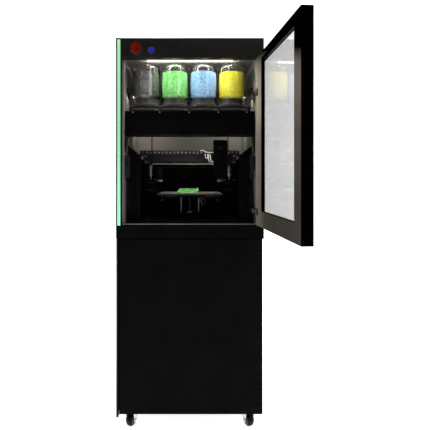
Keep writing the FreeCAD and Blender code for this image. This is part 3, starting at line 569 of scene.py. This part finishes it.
def add_lathe(bm, profile, origin, axis=(0, 0, 1), segments=40, closed=False):
    """A solid turned about an axis from (radius, height) points; points on the axis close it."""
    turn = Vector((0, 0, 1)).rotation_difference(Vector(axis)).to_matrix()
    origin = Vector(origin)
    rings = []
    for radius, height in profile:
        if radius < 1e-6:
            rings.append([bm.verts.new(origin + turn @ Vector((0, 0, height)))])
            continue
        ring = []
        for step in range(segments):
            angle = TAU * step / segments
            point = Vector((radius * math.cos(angle), radius * math.sin(angle), height))
            ring.append(bm.verts.new(origin + turn @ point))
        rings.append(ring)
    links = list(zip(rings, rings[1:]))
    if closed:
        links.append((rings[-1], rings[0]))
    for first, second in links:
        for step in range(segments):
            corners = [first[step % len(first)], first[(step + 1) % len(first)],
                       second[(step + 1) % len(second)], second[step % len(second)]]
            unique = list(dict.fromkeys(corners))
            if len(unique) > 2:
                bm.faces.new(unique)


def add_disc(bm, start, end, radius, chamfer=0.0006, segments=28):
    """A round bar or disc with chamfered ends between two points."""
    start, end = Vector(start), Vector(end)
    length = (end - start).length
    chamfer = min(chamfer, radius * 0.4, length * 0.3)
    profile = [(0, 0), (radius - chamfer, 0), (radius, chamfer), (radius, length - chamfer),
               (radius - chamfer, length), (0, length)]
    add_lathe(bm, profile, start, end - start, segments)


def join_rings(bm, rings):
    """Walls between neighbouring rings of as many vertices each."""
    for first, second in zip(rings, rings[1:]):
        for step in range(len(first)):
            after = (step + 1) % len(first)
            bm.faces.new((first[step], first[after], second[after], second[step]))


def add_ribbon(bm, line, front, rear, thick):
    """A strip that follows (x, z) points, between two depths."""
    rings = []
    for x, z in line:
        corners = ((x, front, z), (x, rear, z), (x, rear, z + thick), (x, front, z + thick))
        rings.append([bm.verts.new(corner) for corner in corners])
    join_rings(bm, rings)
    bm.faces.new(rings[0][::-1])
    bm.faces.new(rings[-1])


def add_screw(bm, place, axis, radius=0.003, segments=18):
    """A socket-head screw: a crowned head with a sunk socket."""
    tall = radius * 0.9
    profile = [(0, tall * 0.45), (radius * 0.45, tall * 0.45), (radius * 0.5, tall), (radius * 0.82, tall),
               (radius, tall * 0.75), (radius, 0), (0, 0)]
    add_lathe(bm, profile, place, axis, segments)


def riding(name, data, body):
    """An object made from a mesh or a curve, which rides on a body."""
    obj = bpy.data.objects.new(name, data)
    SCENE.collection.objects.link(obj)
    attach(obj, body)
    return obj


def piece(name, bm, material, body, smooth_angle=38.0):
    """Turns a bmesh into a finished object that rides on a body."""
    bmesh.ops.recalc_face_normals(bm, faces=bm.faces)
    mesh = bpy.data.meshes.new(name)
    bm.to_mesh(mesh)
    bm.free()
    mesh.polygons.foreach_set("use_smooth", [True] * len(mesh.polygons))
    mesh.set_sharp_from_angle(angle=math.radians(smooth_angle))
    mesh.materials.append(MATERIALS[material])
    return riding(name, mesh, body)


def hose(name, lines, radius, material, body):
    """Hoses or wires held at both ends, each following its own control points."""
    data = bpy.data.curves.new(name, "CURVE")
    data.dimensions = "3D"
    data.bevel_depth = radius
    data.bevel_resolution = 3
    data.resolution_u = 10
    data.use_fill_caps = True
    for points in lines:
        spline = data.splines.new("NURBS")
        spline.points.add(len(points) - 1)
        for target, point in zip(spline.points, points):
            target.co = (*point, 1.0)
        spline.order_u = 3
        spline.use_endpoint_u = True
    data.materials.append(MATERIALS[material])
    riding(name, data, body)


# ---- jars

JAR_LOW, JAR_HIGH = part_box("jars")
JAR_R = (JAR_HIGH.y - JAR_LOW.y) / 2
JAR_Y = (JAR_HIGH.y + JAR_LOW.y) / 2
JAR_X = [JAR_MIDDLE + JAR_PITCH * (step - 1.5) for step in range(JAR_COUNT)]
JAR_GAPS = [JAR_MIDDLE + JAR_PITCH * step for step in (-1, 0, 1)]
JAR_WALL = 0.0012
SHOULDER_R = 0.024
SHOULDER_Z = JAR_HIGH.z - 0.0255
PELLET_LOW, PELLET_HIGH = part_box("pellets")
CAP_LOW, CAP_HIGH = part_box("jar_caps")
TRAY_LOW, TRAY_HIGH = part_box("jar_tray")


def arc(radius, base, bend, steps=8):
    """Points round a shoulder from the wall inwards."""
    return [(radius - bend + bend * math.cos(a), base + bend * math.sin(a))
            for a in [math.pi / 2 * step / steps for step in range(steps + 1)]]


def make_jar_shells():
    """Thin clear jars with a foot ring, a waist bead and a rounded closed end."""
    bm = bmesh.new()
    bottom, top = JAR_LOW.z, JAR_HIGH.z
    neck, waist, flat = JAR_R - 0.010, JAR_R - 0.0007, 0.016
    inside = JAR_R - JAR_WALL
    outer = [(neck, bottom), (neck + 0.001, bottom + 0.002), (JAR_R - 0.0008, bottom + 0.008),
             (JAR_R, bottom + 0.012), (JAR_R, bottom + 0.018), (waist, bottom + 0.020),
             (waist, SHOULDER_Z - 0.006), (JAR_R, SHOULDER_Z - 0.003)]
    outer += arc(JAR_R, SHOULDER_Z, SHOULDER_R) + [(flat, top - 0.0004), (0.0, top)]
    inner = [(0.0, top - JAR_WALL), (flat, top - JAR_WALL - 0.0004)]
    inner += arc(inside, SHOULDER_Z, SHOULDER_R - JAR_WALL)[::-1]
    inner += [(inside, bottom + 0.012), (neck - JAR_WALL, bottom + 0.002), (neck - JAR_WALL, bottom)]
    for x in JAR_X:
        add_lathe(bm, outer + inner, (x, JAR_Y, 0.0), segments=72, closed=True)
    shells = piece("jar_shells", bm, "jar_plastic", "jar_drawer", 60.0)
    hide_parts("jars")


def make_jar_handles():
    """Moulded arch on the closed end of each jar, turned its own way; it is painted white, a painted
    highlight of the strip light on it.
    """
    lines = []
    top = JAR_HIGH.z - 0.004
    turns = (58.0, 4.0, -3.0, -52.0)
    offset = Vector((0.0, -0.040, -0.005))
    half_arch = [(0.024, -0.024), (0.0235, -0.006), (0.014, -0.001)]
    arch = [(-x, z) for x, z in half_arch] + [(0.0, 0.0)] + half_arch[::-1]
    for x, turn in zip(JAR_X, turns):
        spin = Matrix.Rotation(math.radians(turn), 3, "Z")
        middle = Vector((x, JAR_Y, top))
        lines.append([middle + spin @ (Vector((across, 0.0, z)) + offset) for across, z in arch])
    hose("jar_arches", lines, 0.0019, "arch_highlight_white", "jar_drawer")


def make_pellets():
    """Heaped pellets of each jar: a fill whose skin is packed with small grains."""
    colours = ("pellet_grey", "pellet_green", "pellet_blue", "pellet_yellow")
    radius = JAR_R - 0.0017
    low, high = PELLET_LOW.z + 0.002, PELLET_HIGH.z - 0.004
    around, up, inward = 150, 62, 12
    grains, dent_depth, heap, slope, sunk_edge = 230.0, 0.0016, 0.003, 0.0035, 0.004
    for index, (x, colour) in enumerate(zip(JAR_X, colours)):
        bm = bmesh.new()
        random.seed(40 + index)
        lean = random.uniform(0, TAU)
        rows = []
        for row in range(up + 1):
            height = low + (high - low) * row / up
            rows.append((radius if row > 4 else radius - 0.010 + 0.0025 * row, height))
        for step in range(1, inward):
            rows.append((radius * (1 - step / inward), high))
        rings = []
        for r, height in rows:
            ring = []
            for step in range(around):
                angle = TAU * step / around
                level = height
                on_top = height >= high - 1e-6
                if on_top:
                    share = r / radius
                    level += slope * math.cos(angle - lean) * share + heap * (1 - share)
                    level -= sunk_edge * max(0.0, share - 0.85) / 0.15
                point = Vector((r * math.cos(angle), r * math.sin(angle), level))
                seed = point * grains + Vector((index * 7.0, 0, 0))
                distance = noise.voronoi(seed)[0][0]
                dent = dent_depth * min(1.0, distance * 1.5)
                outward = Vector((math.cos(angle), math.sin(angle), 0.0))
                if on_top:
                    point.z -= dent
                else:
                    point -= outward * dent
                ring.append(bm.verts.new(point + Vector((x, JAR_Y, 0))))
            rings.append(ring)
        join_rings(bm, rings)
        bm.faces.new(rings[0][::-1])
        bm.faces.new(rings[-1])
        fill = piece(f"pellet_fill_{index + 1}", bm, colour, "jar_drawer", 180.0)
        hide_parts("pellets")


def make_carriers():
    """Collars, front lips and ribs of the carriers that hold the jars."""
    bm = bmesh.new()
    collar = CAP_LOW.z
    rim = JAR_R + 0.0005
    for x in JAR_X:
        profile = [(rim - 0.006, collar - 0.010), (rim - 0.0005, collar - 0.006),
                   (rim + 0.001, collar - 0.001), (rim + 0.0012, collar + 0.001), (rim, collar + 0.0018),
                   (rim - 0.0055, collar + 0.0016), (rim - 0.0062, collar)]
        add_lathe(bm, profile, (x, JAR_Y, 0.0), segments=64, closed=True)
        for z in (TRAY_HIGH.z - 0.013, TRAY_HIGH.z - 0.006):
            ring = [(rim + 0.0002, z - 0.001), (rim + 0.0018, z), (rim + 0.0002, z + 0.001), (rim - 0.002, z)]
            add_lathe(bm, ring, (x, JAR_Y, 0.0), segments=64, closed=True)
    piece("carrier_collars", bm, "collar_plastic", "jar_drawer", 50.0)
    bm = bmesh.new()
    front, base = TRAY_LOW.y, TRAY_LOW.z
    bow_foot, bow_rise, half_bow = TRAY_HIGH.z - 0.0185, 0.0105, JAR_PITCH / 2 - 0.001
    for x in JAR_X:
        add_block(bm, (x - 0.056, front - 0.003, base + 0.007),
                  (x + 0.050, front + 0.002, base + 0.0105), 0.0008)
        add_block(bm, (x + 0.040, front - 0.004, base + 0.002),
                  (x + 0.058, front + 0.002, base + 0.008), 0.0015)
        bow = []
        for step in range(17):
            across = -1 + step / 8
            bow.append((x + across * half_bow, bow_foot + bow_rise * (1 - across ** 2)))
        add_ribbon(bm, bow, front - 0.004, front + 0.004, 0.0022)
    piece("carrier_lips", bm, "collar_plastic", "jar_drawer")
    bm = bmesh.new()
    for x in JAR_X:
        for step in range(7):
            angle = math.radians(-150 + 20 * step)
            outer = Vector((math.cos(angle), math.sin(angle), 0)) * (CAP_HIGH.z - CAP_LOW.z + 0.033)
            middle = Vector((x, JAR_Y, TRAY_HIGH.z - 0.016)) + outer
            add_block(bm, middle - Vector((0.001, 0.001, 0.012)),
                      middle + Vector((0.001, 0.001, 0.006)), 0.0005)
    piece("carrier_ribs", bm, "black_plastic", "jar_drawer")
    bm = bmesh.new()
    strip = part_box("feed_box")[0].y + 0.002
    for x in JAR_GAPS + [TRAY_LOW.x + 0.015, TRAY_HIGH.x - 0.015]:
        add_screw(bm, (x, strip, TRAY_LOW.z - 0.005), (0, -1, 0), 0.0026)
    piece("feed_box_screws", bm, "zinc", "cabinet")


def make_jar_posts():
    """Dark posts between the jars, each a plate with a flange behind."""
    bm = bmesh.new()
    low, high = TRAY_LOW.z + 0.015, JAR_HIGH.z - 0.005
    for x in JAR_GAPS:
        add_block(bm, (x - 0.0015, JAR_Y - 0.006, low), (x + 0.0015, JAR_Y + 0.051, high), 0.0006)
        add_block(bm, (x - 0.009, JAR_Y + 0.050, low), (x + 0.009, JAR_Y + 0.054, high), 0.0008)
    piece("jar_posts", bm, "black_plastic", "jar_drawer")


def make_ceiling_diodes():
    """A row of small diodes under the ceiling strip."""
    bm = bmesh.new()
    count, half, depth = 36, 0.0028, 0.0014
    y, z = (STRIP_LOW.y + STRIP_HIGH.y) / 2, STRIP_LOW.z
    for step in range(count):
        x = STRIP_LOW.x + (STRIP_HIGH.x - STRIP_LOW.x) * (step + 0.5) / count
        add_block(bm, (x - half, y - half, z - depth), (x + half, y + half, z), 0.0005)
    piece("ceiling_diodes", bm, "diode", "cabinet")


def make_wall_brackets():
    """Folded brackets on the side walls beside the jars."""
    inner = WALL_X - 0.017
    front, rear = JAR_Y - 0.014, JAR_Y + 0.075
    top, low = CAP_HIGH.z + 0.054, CAP_LOW.z + 0.036
    outline = [(front, top - 0.015), (rear, top - 0.015), (rear, low), (rear - 0.02, low)]
    for side, name in zip(SIDES, ("left", "right")):
        bm = bmesh.new()
        add_side_block(bm, side, (inner, front, top - 0.016), (WALL_X, rear, top), 0.001)
        faces = []
        for x in (side * (WALL_X - 0.0005), side * (WALL_X - 0.004)):
            faces.append([bm.verts.new((x, y, z)) for y, z in outline])
        bm.faces.new(faces[0])
        bm.faces.new(faces[1][::-1])
        join_rings(bm, faces)
        piece(f"wall_bracket_{name}", bm, "black_plastic", "cabinet")


# ---- printer

def make_chain():
    """Cable chain: hinged links with open windows."""
    low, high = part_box("cable_chain")
    pitch = 0.0184
    count = int((high.x - low.x) / pitch)
    radius = (high.z - low.z) / 2 - 0.0006
    middle = (low.z + high.z) / 2
    bm = bmesh.new()
    for step in range(count + 1):
        x = low.x + radius + step * pitch
        if x + radius > high.x:
            break
        for y0, y1 in ((low.y, low.y + 0.004), (high.y - 0.004, high.y)):
            add_disc(bm, (x, y0, middle), (x, y1, middle), radius * 0.62, 0.0008, 20)
            add_disc(bm, (x, y0 - 0.0008, middle), (x, y0 + 0.001, middle), radius * 0.25, 0.0004, 12)
        last = min(x + pitch - 0.0012, high.x)
        for z0, z1 in ((low.z, low.z + 0.0042), (high.z - 0.0042, high.z)):
            add_block(bm, (x - 0.006, low.y, z0), (last - 0.006, high.y, z1), 0.0007)
    chain = piece("cable_chain_links", bm, "chain_plastic", "gantry")
    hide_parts("cable_chain")
    y = (low.y + high.y) / 2
    wave = 0.0006
    cables = []
    for dy, rise in ((-0.0045, 0.0), (0.0, -0.0005), (0.0045, 0.0005)):
        steps = 13
        xs = [low.x + 0.004 + (high.x - low.x - 0.008) * step / (steps - 1) for step in range(steps)]
        cables.append([(x, y + dy, middle + rise + wave * (-1) ** index) for index, x in enumerate(xs)])
    hose("chain_cables", cables, 0.0022, "hose_white", "gantry")


def make_head_details():
    """Hose arm, latch and cooling fins of the print head, with its tube and wires."""
    low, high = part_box("hopper_tower")
    left = low.x
    nozzle_low, nozzle_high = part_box("hot_end")
    middle = (nozzle_low + nozzle_high) / 2
    arm = high.z - 0.066
    bm = bmesh.new()
    add_block(bm, (left - 0.056, middle.y - 0.002, arm),
              (left + 0.001, middle.y + 0.014, arm + 0.008), 0.0012)
    add_block(bm, (left + 0.004, low.y - 0.0016, high.z - 0.030),
              (high.x - 0.004, low.y + 0.001, high.z - 0.0285), 0.0003)
    add_block(bm, (left + 0.020, low.y - 0.003, high.z - 0.040),
              (high.x - 0.020, low.y + 0.001, high.z - 0.034), 0.001)
    for z in (nozzle_low.z + 0.007, nozzle_low.z + 0.0115):
        add_disc(bm, (middle.x, middle.y, z), (middle.x, middle.y, z + 0.002), 0.0112, 0.0004, 32)
    piece("head_details", bm, "black_plastic", "print_head")
    y = middle.y - 0.002
    tubes = [[(-0.060, 0.010, 0.016), (-0.053, 0.006, 0.024), (-0.038, 0.0, 0.013), (-0.018, 0.0, 0.008),
              (0.001, 0.0, 0.011)]]
    wires = [
        [(-0.036, 0.0, 0.001), (-0.041, -0.002, -0.011), (-0.032, -0.002, -0.019), (-0.023, -0.002, -0.011),
         (-0.028, 0.0, 0.001)],
        [(-0.020, 0.0, 0.001), (-0.025, -0.003, -0.017), (-0.019, -0.003, -0.033), (-0.007, -0.002, -0.043),
         (0.001, 0.0, -0.047)],
        [(-0.013, 0.002, 0.001), (-0.016, 0.0, -0.019), (-0.006, 0.0, -0.033), (0.001, 0.0, -0.037)],
    ]
    for name, lines, radius in (("head_tube", tubes, 0.0027), ("head_wires", wires, 0.0015)):
        placed = [[(left + x, y + dy, arm + z) for x, dy, z in line] for line in lines]
        hose(name, placed, radius, "hose_white", "print_head")


def make_insole():
    """Dished insole with a heel cup and an arch flange, printed in layers."""
    low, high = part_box("printed_insole")
    toe, heel = Vector((-0.011, 0.048)), Vector((-0.014, 0.150))
    toe_r, heel_r = 0.0515, 0.0335

    def depth(point):
        spine = heel - toe
        along = max(0.0, min(1.0, (point - toe).dot(spine) / spine.length_squared))
        return toe_r + (heel_r - toe_r) * along - (point - toe - spine * along).length

    def smooth(start, stop, value):
        place = max(0.0, min(1.0, (value - start) / (stop - start)))
        return place * place * (3 - 2 * place)

    centre = Vector((-0.012, 0.095))
    around, rings_count = 128, 26
    sole, layer, halvings = 0.0036, 0.0008, 22
    bm = bmesh.new()
    rings = []
    for ring_index in range(1, rings_count + 1):
        ring = []
        for step in range(around):
            angle = TAU * step / around
            direction = Vector((math.cos(angle), math.sin(angle)))
            near, far = 0.0, 0.2
            for _ in range(halvings):
                half = (near + far) / 2
                if depth(centre + direction * half) > 0:
                    near = half
                else:
                    far = half
            point = centre + direction * near * ring_index / rings_count
            edge = 1.0 - min(1.0, max(0.0, depth(point)) / 0.020)
            cup = 0.0110 * smooth(0.060, 0.135, point.y) + 0.003
            flange = 0.0205 * smooth(-0.005, 0.042, point.x) * smooth(0.030, 0.062, point.y)
            flange *= 1 - smooth(0.088, 0.118, point.y)
            height = sole + max(cup, flange) * edge ** 2.2
            height += 0.0006 * noise.noise(Vector((point.x, point.y, 0)) * 90.0)
            height = math.floor(height / layer + 0.5) * layer * 0.5 + height * 0.5
            ring.append(bm.verts.new((point.x, point.y, min(high.z, low.z + height))))
        rings.append(ring)
    join_rings(bm, rings)
    bm.faces.new(rings[0][::-1])
    base = [bm.verts.new((vert.co.x, vert.co.y, low.z + 0.0001)) for vert in rings[-1]]
    join_rings(bm, [rings[-1], base])
    bm.faces.new(base)
    insole = piece("insole_print", bm, "print", "bed", 50.0)
    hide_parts("printed_insole")


def make_bed_details():
    """Levelling knobs, plate clips and the heater cable under the plate."""
    low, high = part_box("build_plate")
    bm = bmesh.new()
    knob_top = low.z - 0.018
    for x in (-0.122, 0.122):
        for y in (low.y + 0.022, high.y - 0.054):
            add_disc(bm, (x, y, knob_top - 0.008), (x, y, knob_top), 0.011, 0.0012, 24)
            add_disc(bm, (x, y, knob_top), (x, y, low.z), 0.0035, 0.0004, 16)
    piece("levelling_knobs", bm, "black_plastic", "bed")
    bm = bmesh.new()
    for x in (-0.100, 0.070):
        add_block(bm, (x, low.y + 0.006, low.z - 0.0055), (x + 0.040, low.y + 0.020, low.z - 0.0005), 0.001)
    for x in (-0.070, 0.098):
        add_disc(bm, (x, low.y + 0.004, low.z - 0.003), (x, low.y + 0.007, low.z - 0.003), 0.002, 0.0004, 14)
    piece("plate_clips", bm, "black_plastic", "bed")
    # Points as X, Y and the depth below the plate
    lines = [
        [(0.054, -0.050, 0.012), (0.052, -0.056, 0.030), (0.056, -0.060, 0.052), (0.066, -0.058, 0.048),
         (0.072, -0.054, 0.026), (0.066, -0.050, 0.012)],
        [(0.046, -0.046, 0.012), (0.047, -0.052, 0.034), (0.058, -0.056, 0.040), (0.060, -0.050, 0.012)],
    ]
    placed = [[(x, y, low.z - depth) for x, y, depth in line] for line in lines]
    hose("bed_cable", placed, 0.0017, "hose_grey", "bed")


def make_frame_details():
    """Corner brackets, screws and end covers of the slotted frame, with the cables that run on it."""
    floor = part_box("printer_frame")[0].z
    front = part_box("printer_frame")[0].y
    rail_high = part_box("y_rails")[1]
    rear, frame_top = rail_high.y, rail_high.z + 0.004
    bar, inner, plate = 0.045, 0.2095, 0.004
    bm = bmesh.new()
    screws = bmesh.new()
    y = front + bar
    for side in SIDES:
        for z, up in ((floor + bar, 1.0), (frame_top - bar, -1.0)):
            for depth, height in ((0.030, plate), (plate, 0.030)):
                z0, z1 = sorted((z, z + up * height))
                add_side_block(bm, side, (inner + 0.004, y, z0), (inner + 0.041, y + depth, z1), 0.0008)
            add_screw(screws, (side * (inner + 0.0225), y + 0.018, z + up * plate), (0, 0, up), 0.004)
        for z in (floor + 0.020, floor + 0.100, frame_top - 0.022, frame_top - 0.100):
            add_screw(screws, (side * (inner + 0.036), front, z), (0, -1, 0), 0.0032)
        add_side_block(bm, side, (inner - 0.004, front - 0.004, frame_top),
                       (inner + bar + 0.005, front + bar + 0.002, frame_top + 0.003), 0.0008)
    piece("frame_brackets", bm, "black_metal", "cabinet")
    piece("frame_screws", screws, "black_metal", "cabinet")
    paths = (((0.236, front + 0.030), (0.224, front + 0.060), (0.217, front + 0.160),
              (0.216, rear - 0.060), (0.222, rear - 0.004)),
             ((0.246, front + 0.034), (0.238, front + 0.080), (0.227, front + 0.200),
              (0.228, rear - 0.020)))
    lines = [[(side * x, y, frame_top + 0.005) for x, y in path] for side in SIDES for path in paths]
    hose("frame_cables", lines, 0.0030, "black_plastic", "cabinet")


def make_drive_details():
    """Motor screws and bands, clamp rings of the couplings, covers and bright clamps of the uprights, and
    dark sheets beside the covers that stand in for shade.
    """
    motor_half, screw_offset, upright_x = 0.0285, 0.0235, 0.1535
    for name in ("right", "left"):
        low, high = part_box(f"drive_coupling_{name}")
        axis = (low + high) / 2
        rings = bmesh.new()
        for z in (0.023, 0.033, 0.053, 0.067, 0.074):
            place = Vector((axis.x, axis.y, low.z + z))
            add_disc(rings, place, place + Vector((0, 0, 0.003)), 0.0135, 0.0007, 32)
        piece(f"coupling_rings_{name}", rings, "silver", f"drive_{name}")
    low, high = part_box("drive_coupling_right")
    stack = (low + high) / 2
    y, top = stack.y, low.z + 0.0037
    screws, bands, clamps, covers, shade_sheets = [bmesh.new() for _ in range(5)]
    reach = motor_half + 0.0006
    for side in SIDES:
        x = side * stack.x
        for i in (-screw_offset, screw_offset):
            for j in (-screw_offset, screw_offset):
                add_screw(screws, (x + i, y + j, top), (0, 0, 1), 0.0036)
        for z in (top - 0.0145, top - 0.050):
            add_block(bands, (x - reach, y - reach, z), (x + reach, y + reach, z + 0.001), 0.0003)
        add_side_block(clamps, side, (0.139, y + 0.050, top - 0.009), (0.168, y + 0.076, top + 0.001), 0.0015)
        start = Vector((side * upright_x, y + 0.047, top - 0.004))
        add_disc(clamps, start, start + Vector((0, 0.004, 0)), 0.004, 0.0006)
        add_side_block(covers, side, (0.1420, y + 0.0745, top + 0.006),
                       (0.1705, y + 0.0766, top + 0.078), 0.0008)
        # Dark sheets outside the uprights' covers: painted shade, put where the space behind shows black.
        add_side_block(shade_sheets, side, (0.1725, y + 0.0790, top - 0.130),
                       (0.2100, y + 0.0805, top + 0.066), 0.0004)
    piece("motor_screws", screws, "screw_steel", "cabinet")
    piece("motor_bands", bands, "nickel", "cabinet")
    piece("upright_clamps", clamps, "zinc", "cabinet")
    piece("upright_covers", covers, "cover_grey", "cabinet")
    piece("rear_shade_sheets", shade_sheets, "black_metal", "cabinet")


# ---- cabinet

def make_panel_screws():
    """Screws that hold the back and the side panels."""
    low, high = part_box("back_panel")
    bm = bmesh.new()
    for side in SIDES:
        for step in range(9):
            z = low.z + 0.03 + (high.z - low.z - 0.06) * step / 8
            add_screw(bm, (side * (high.x - 0.011), high.y, z), (0, 1, 0), 0.0038)
    for step in range(1, 6):
        x = low.x + (high.x - low.x) * step / 6
        for z in (low.z + 0.012, high.z - 0.012):
            add_screw(bm, (x, high.y, z), (0, 1, 0), 0.0038)
    piece("back_screws", bm, "zinc", "cabinet")
    bm = bmesh.new()
    for side in SIDES:
        for y in (SIDE_LOW.y + 0.03, (SIDE_LOW.y + SIDE_HIGH.y) / 2, SIDE_HIGH.y - 0.03):
            for z in (SIDE_LOW.z + 0.03, SIDE_HIGH.z - 0.03):
                add_screw(bm, (side * SIDE_HIGH.x, y, z), (side, 0, 0), 0.0036)
    piece("side_screws", bm, "black_metal", "cabinet")


def make_hinge_details():
    """Screws and side plates of the concealed hinges' arms on the wall."""
    low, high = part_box("hinge_arms")
    cups_low, cups_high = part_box("hinge_cups")
    levels = (cups_low.z + 0.0175, cups_high.z - 0.0175)
    wall = high.x - 0.002
    bm = bmesh.new()
    for z in levels:
        for y in (low.y + 0.016, high.y - 0.010):
            for offset in (-0.017, 0.017):
                add_screw(bm, (wall, y, z + offset), (-1, 0, 0), 0.0034)
        add_screw(bm, (low.x, low.y + 0.040, z), (-1, 0, 0), 0.0036)
        add_screw(bm, (low.x, low.y + 0.022, z), (-1, 0, 0), 0.0030)
        for offset in (-0.010, 0.0092):
            add_block(bm, (low.x - 0.001, low.y + 0.003, z + offset),
                      (wall, high.y - 0.006, z + offset + 0.0008), 0.0002)
    piece("hinge_screws", bm, "nickel", "cabinet")


def make_castor_details():
    """Hubs of the wheels and the nuts on their axles."""
    hub_half, nut_place = 0.0150, 0.0205
    profile = [(0.0045, hub_half - 0.002), (0.0150, hub_half - 0.001), (0.0165, hub_half + 0.0008),
               (0.0185, hub_half + 0.0008), (0.0195, hub_half - 0.001), (0.0195, hub_half - 0.004),
               (0.0045, hub_half - 0.004)]
    for name in ("left", "right"):
        for row in ("front", "rear"):
            low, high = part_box(f"{row}_wheel_{name}")
            middle = (low + high) / 2
            yaw = math.copysign(CASTOR_YAW, middle.x) if row == "front" else 0.0
            axle = Vector((math.cos(yaw), math.sin(yaw), 0))
            hubs, nuts = bmesh.new(), bmesh.new()
            for side in SIDES:
                add_lathe(hubs, profile, middle, axle * side, 40, closed=True)
                start = middle + axle * side * nut_place
                add_disc(nuts, start, start + axle * side * 0.004, 0.0068, 0.0008, 6)
            piece(f"wheel_hub_{row}_{name}", hubs, "grey_plastic", f"wheel_{row}_{name}")
            body = f"fork_{name}" if row == "front" else "cabinet"
            piece(f"axle_nuts_{row}_{name}", nuts, "zinc", body)


SCENE.view_settings.view_transform = "Standard"
make_jar_shells()
make_jar_handles()
make_pellets()
make_carriers()
make_jar_posts()
make_ceiling_diodes()
make_wall_brackets()
make_chain()
make_head_details()
make_insole()
make_bed_details()
make_frame_details()
make_drive_details()
make_panel_screws()
make_hinge_details()
make_castor_details()
dress_cad()
add_camera()
add_stage()
add_world()
add_room_lights()
add_chamber_lights()
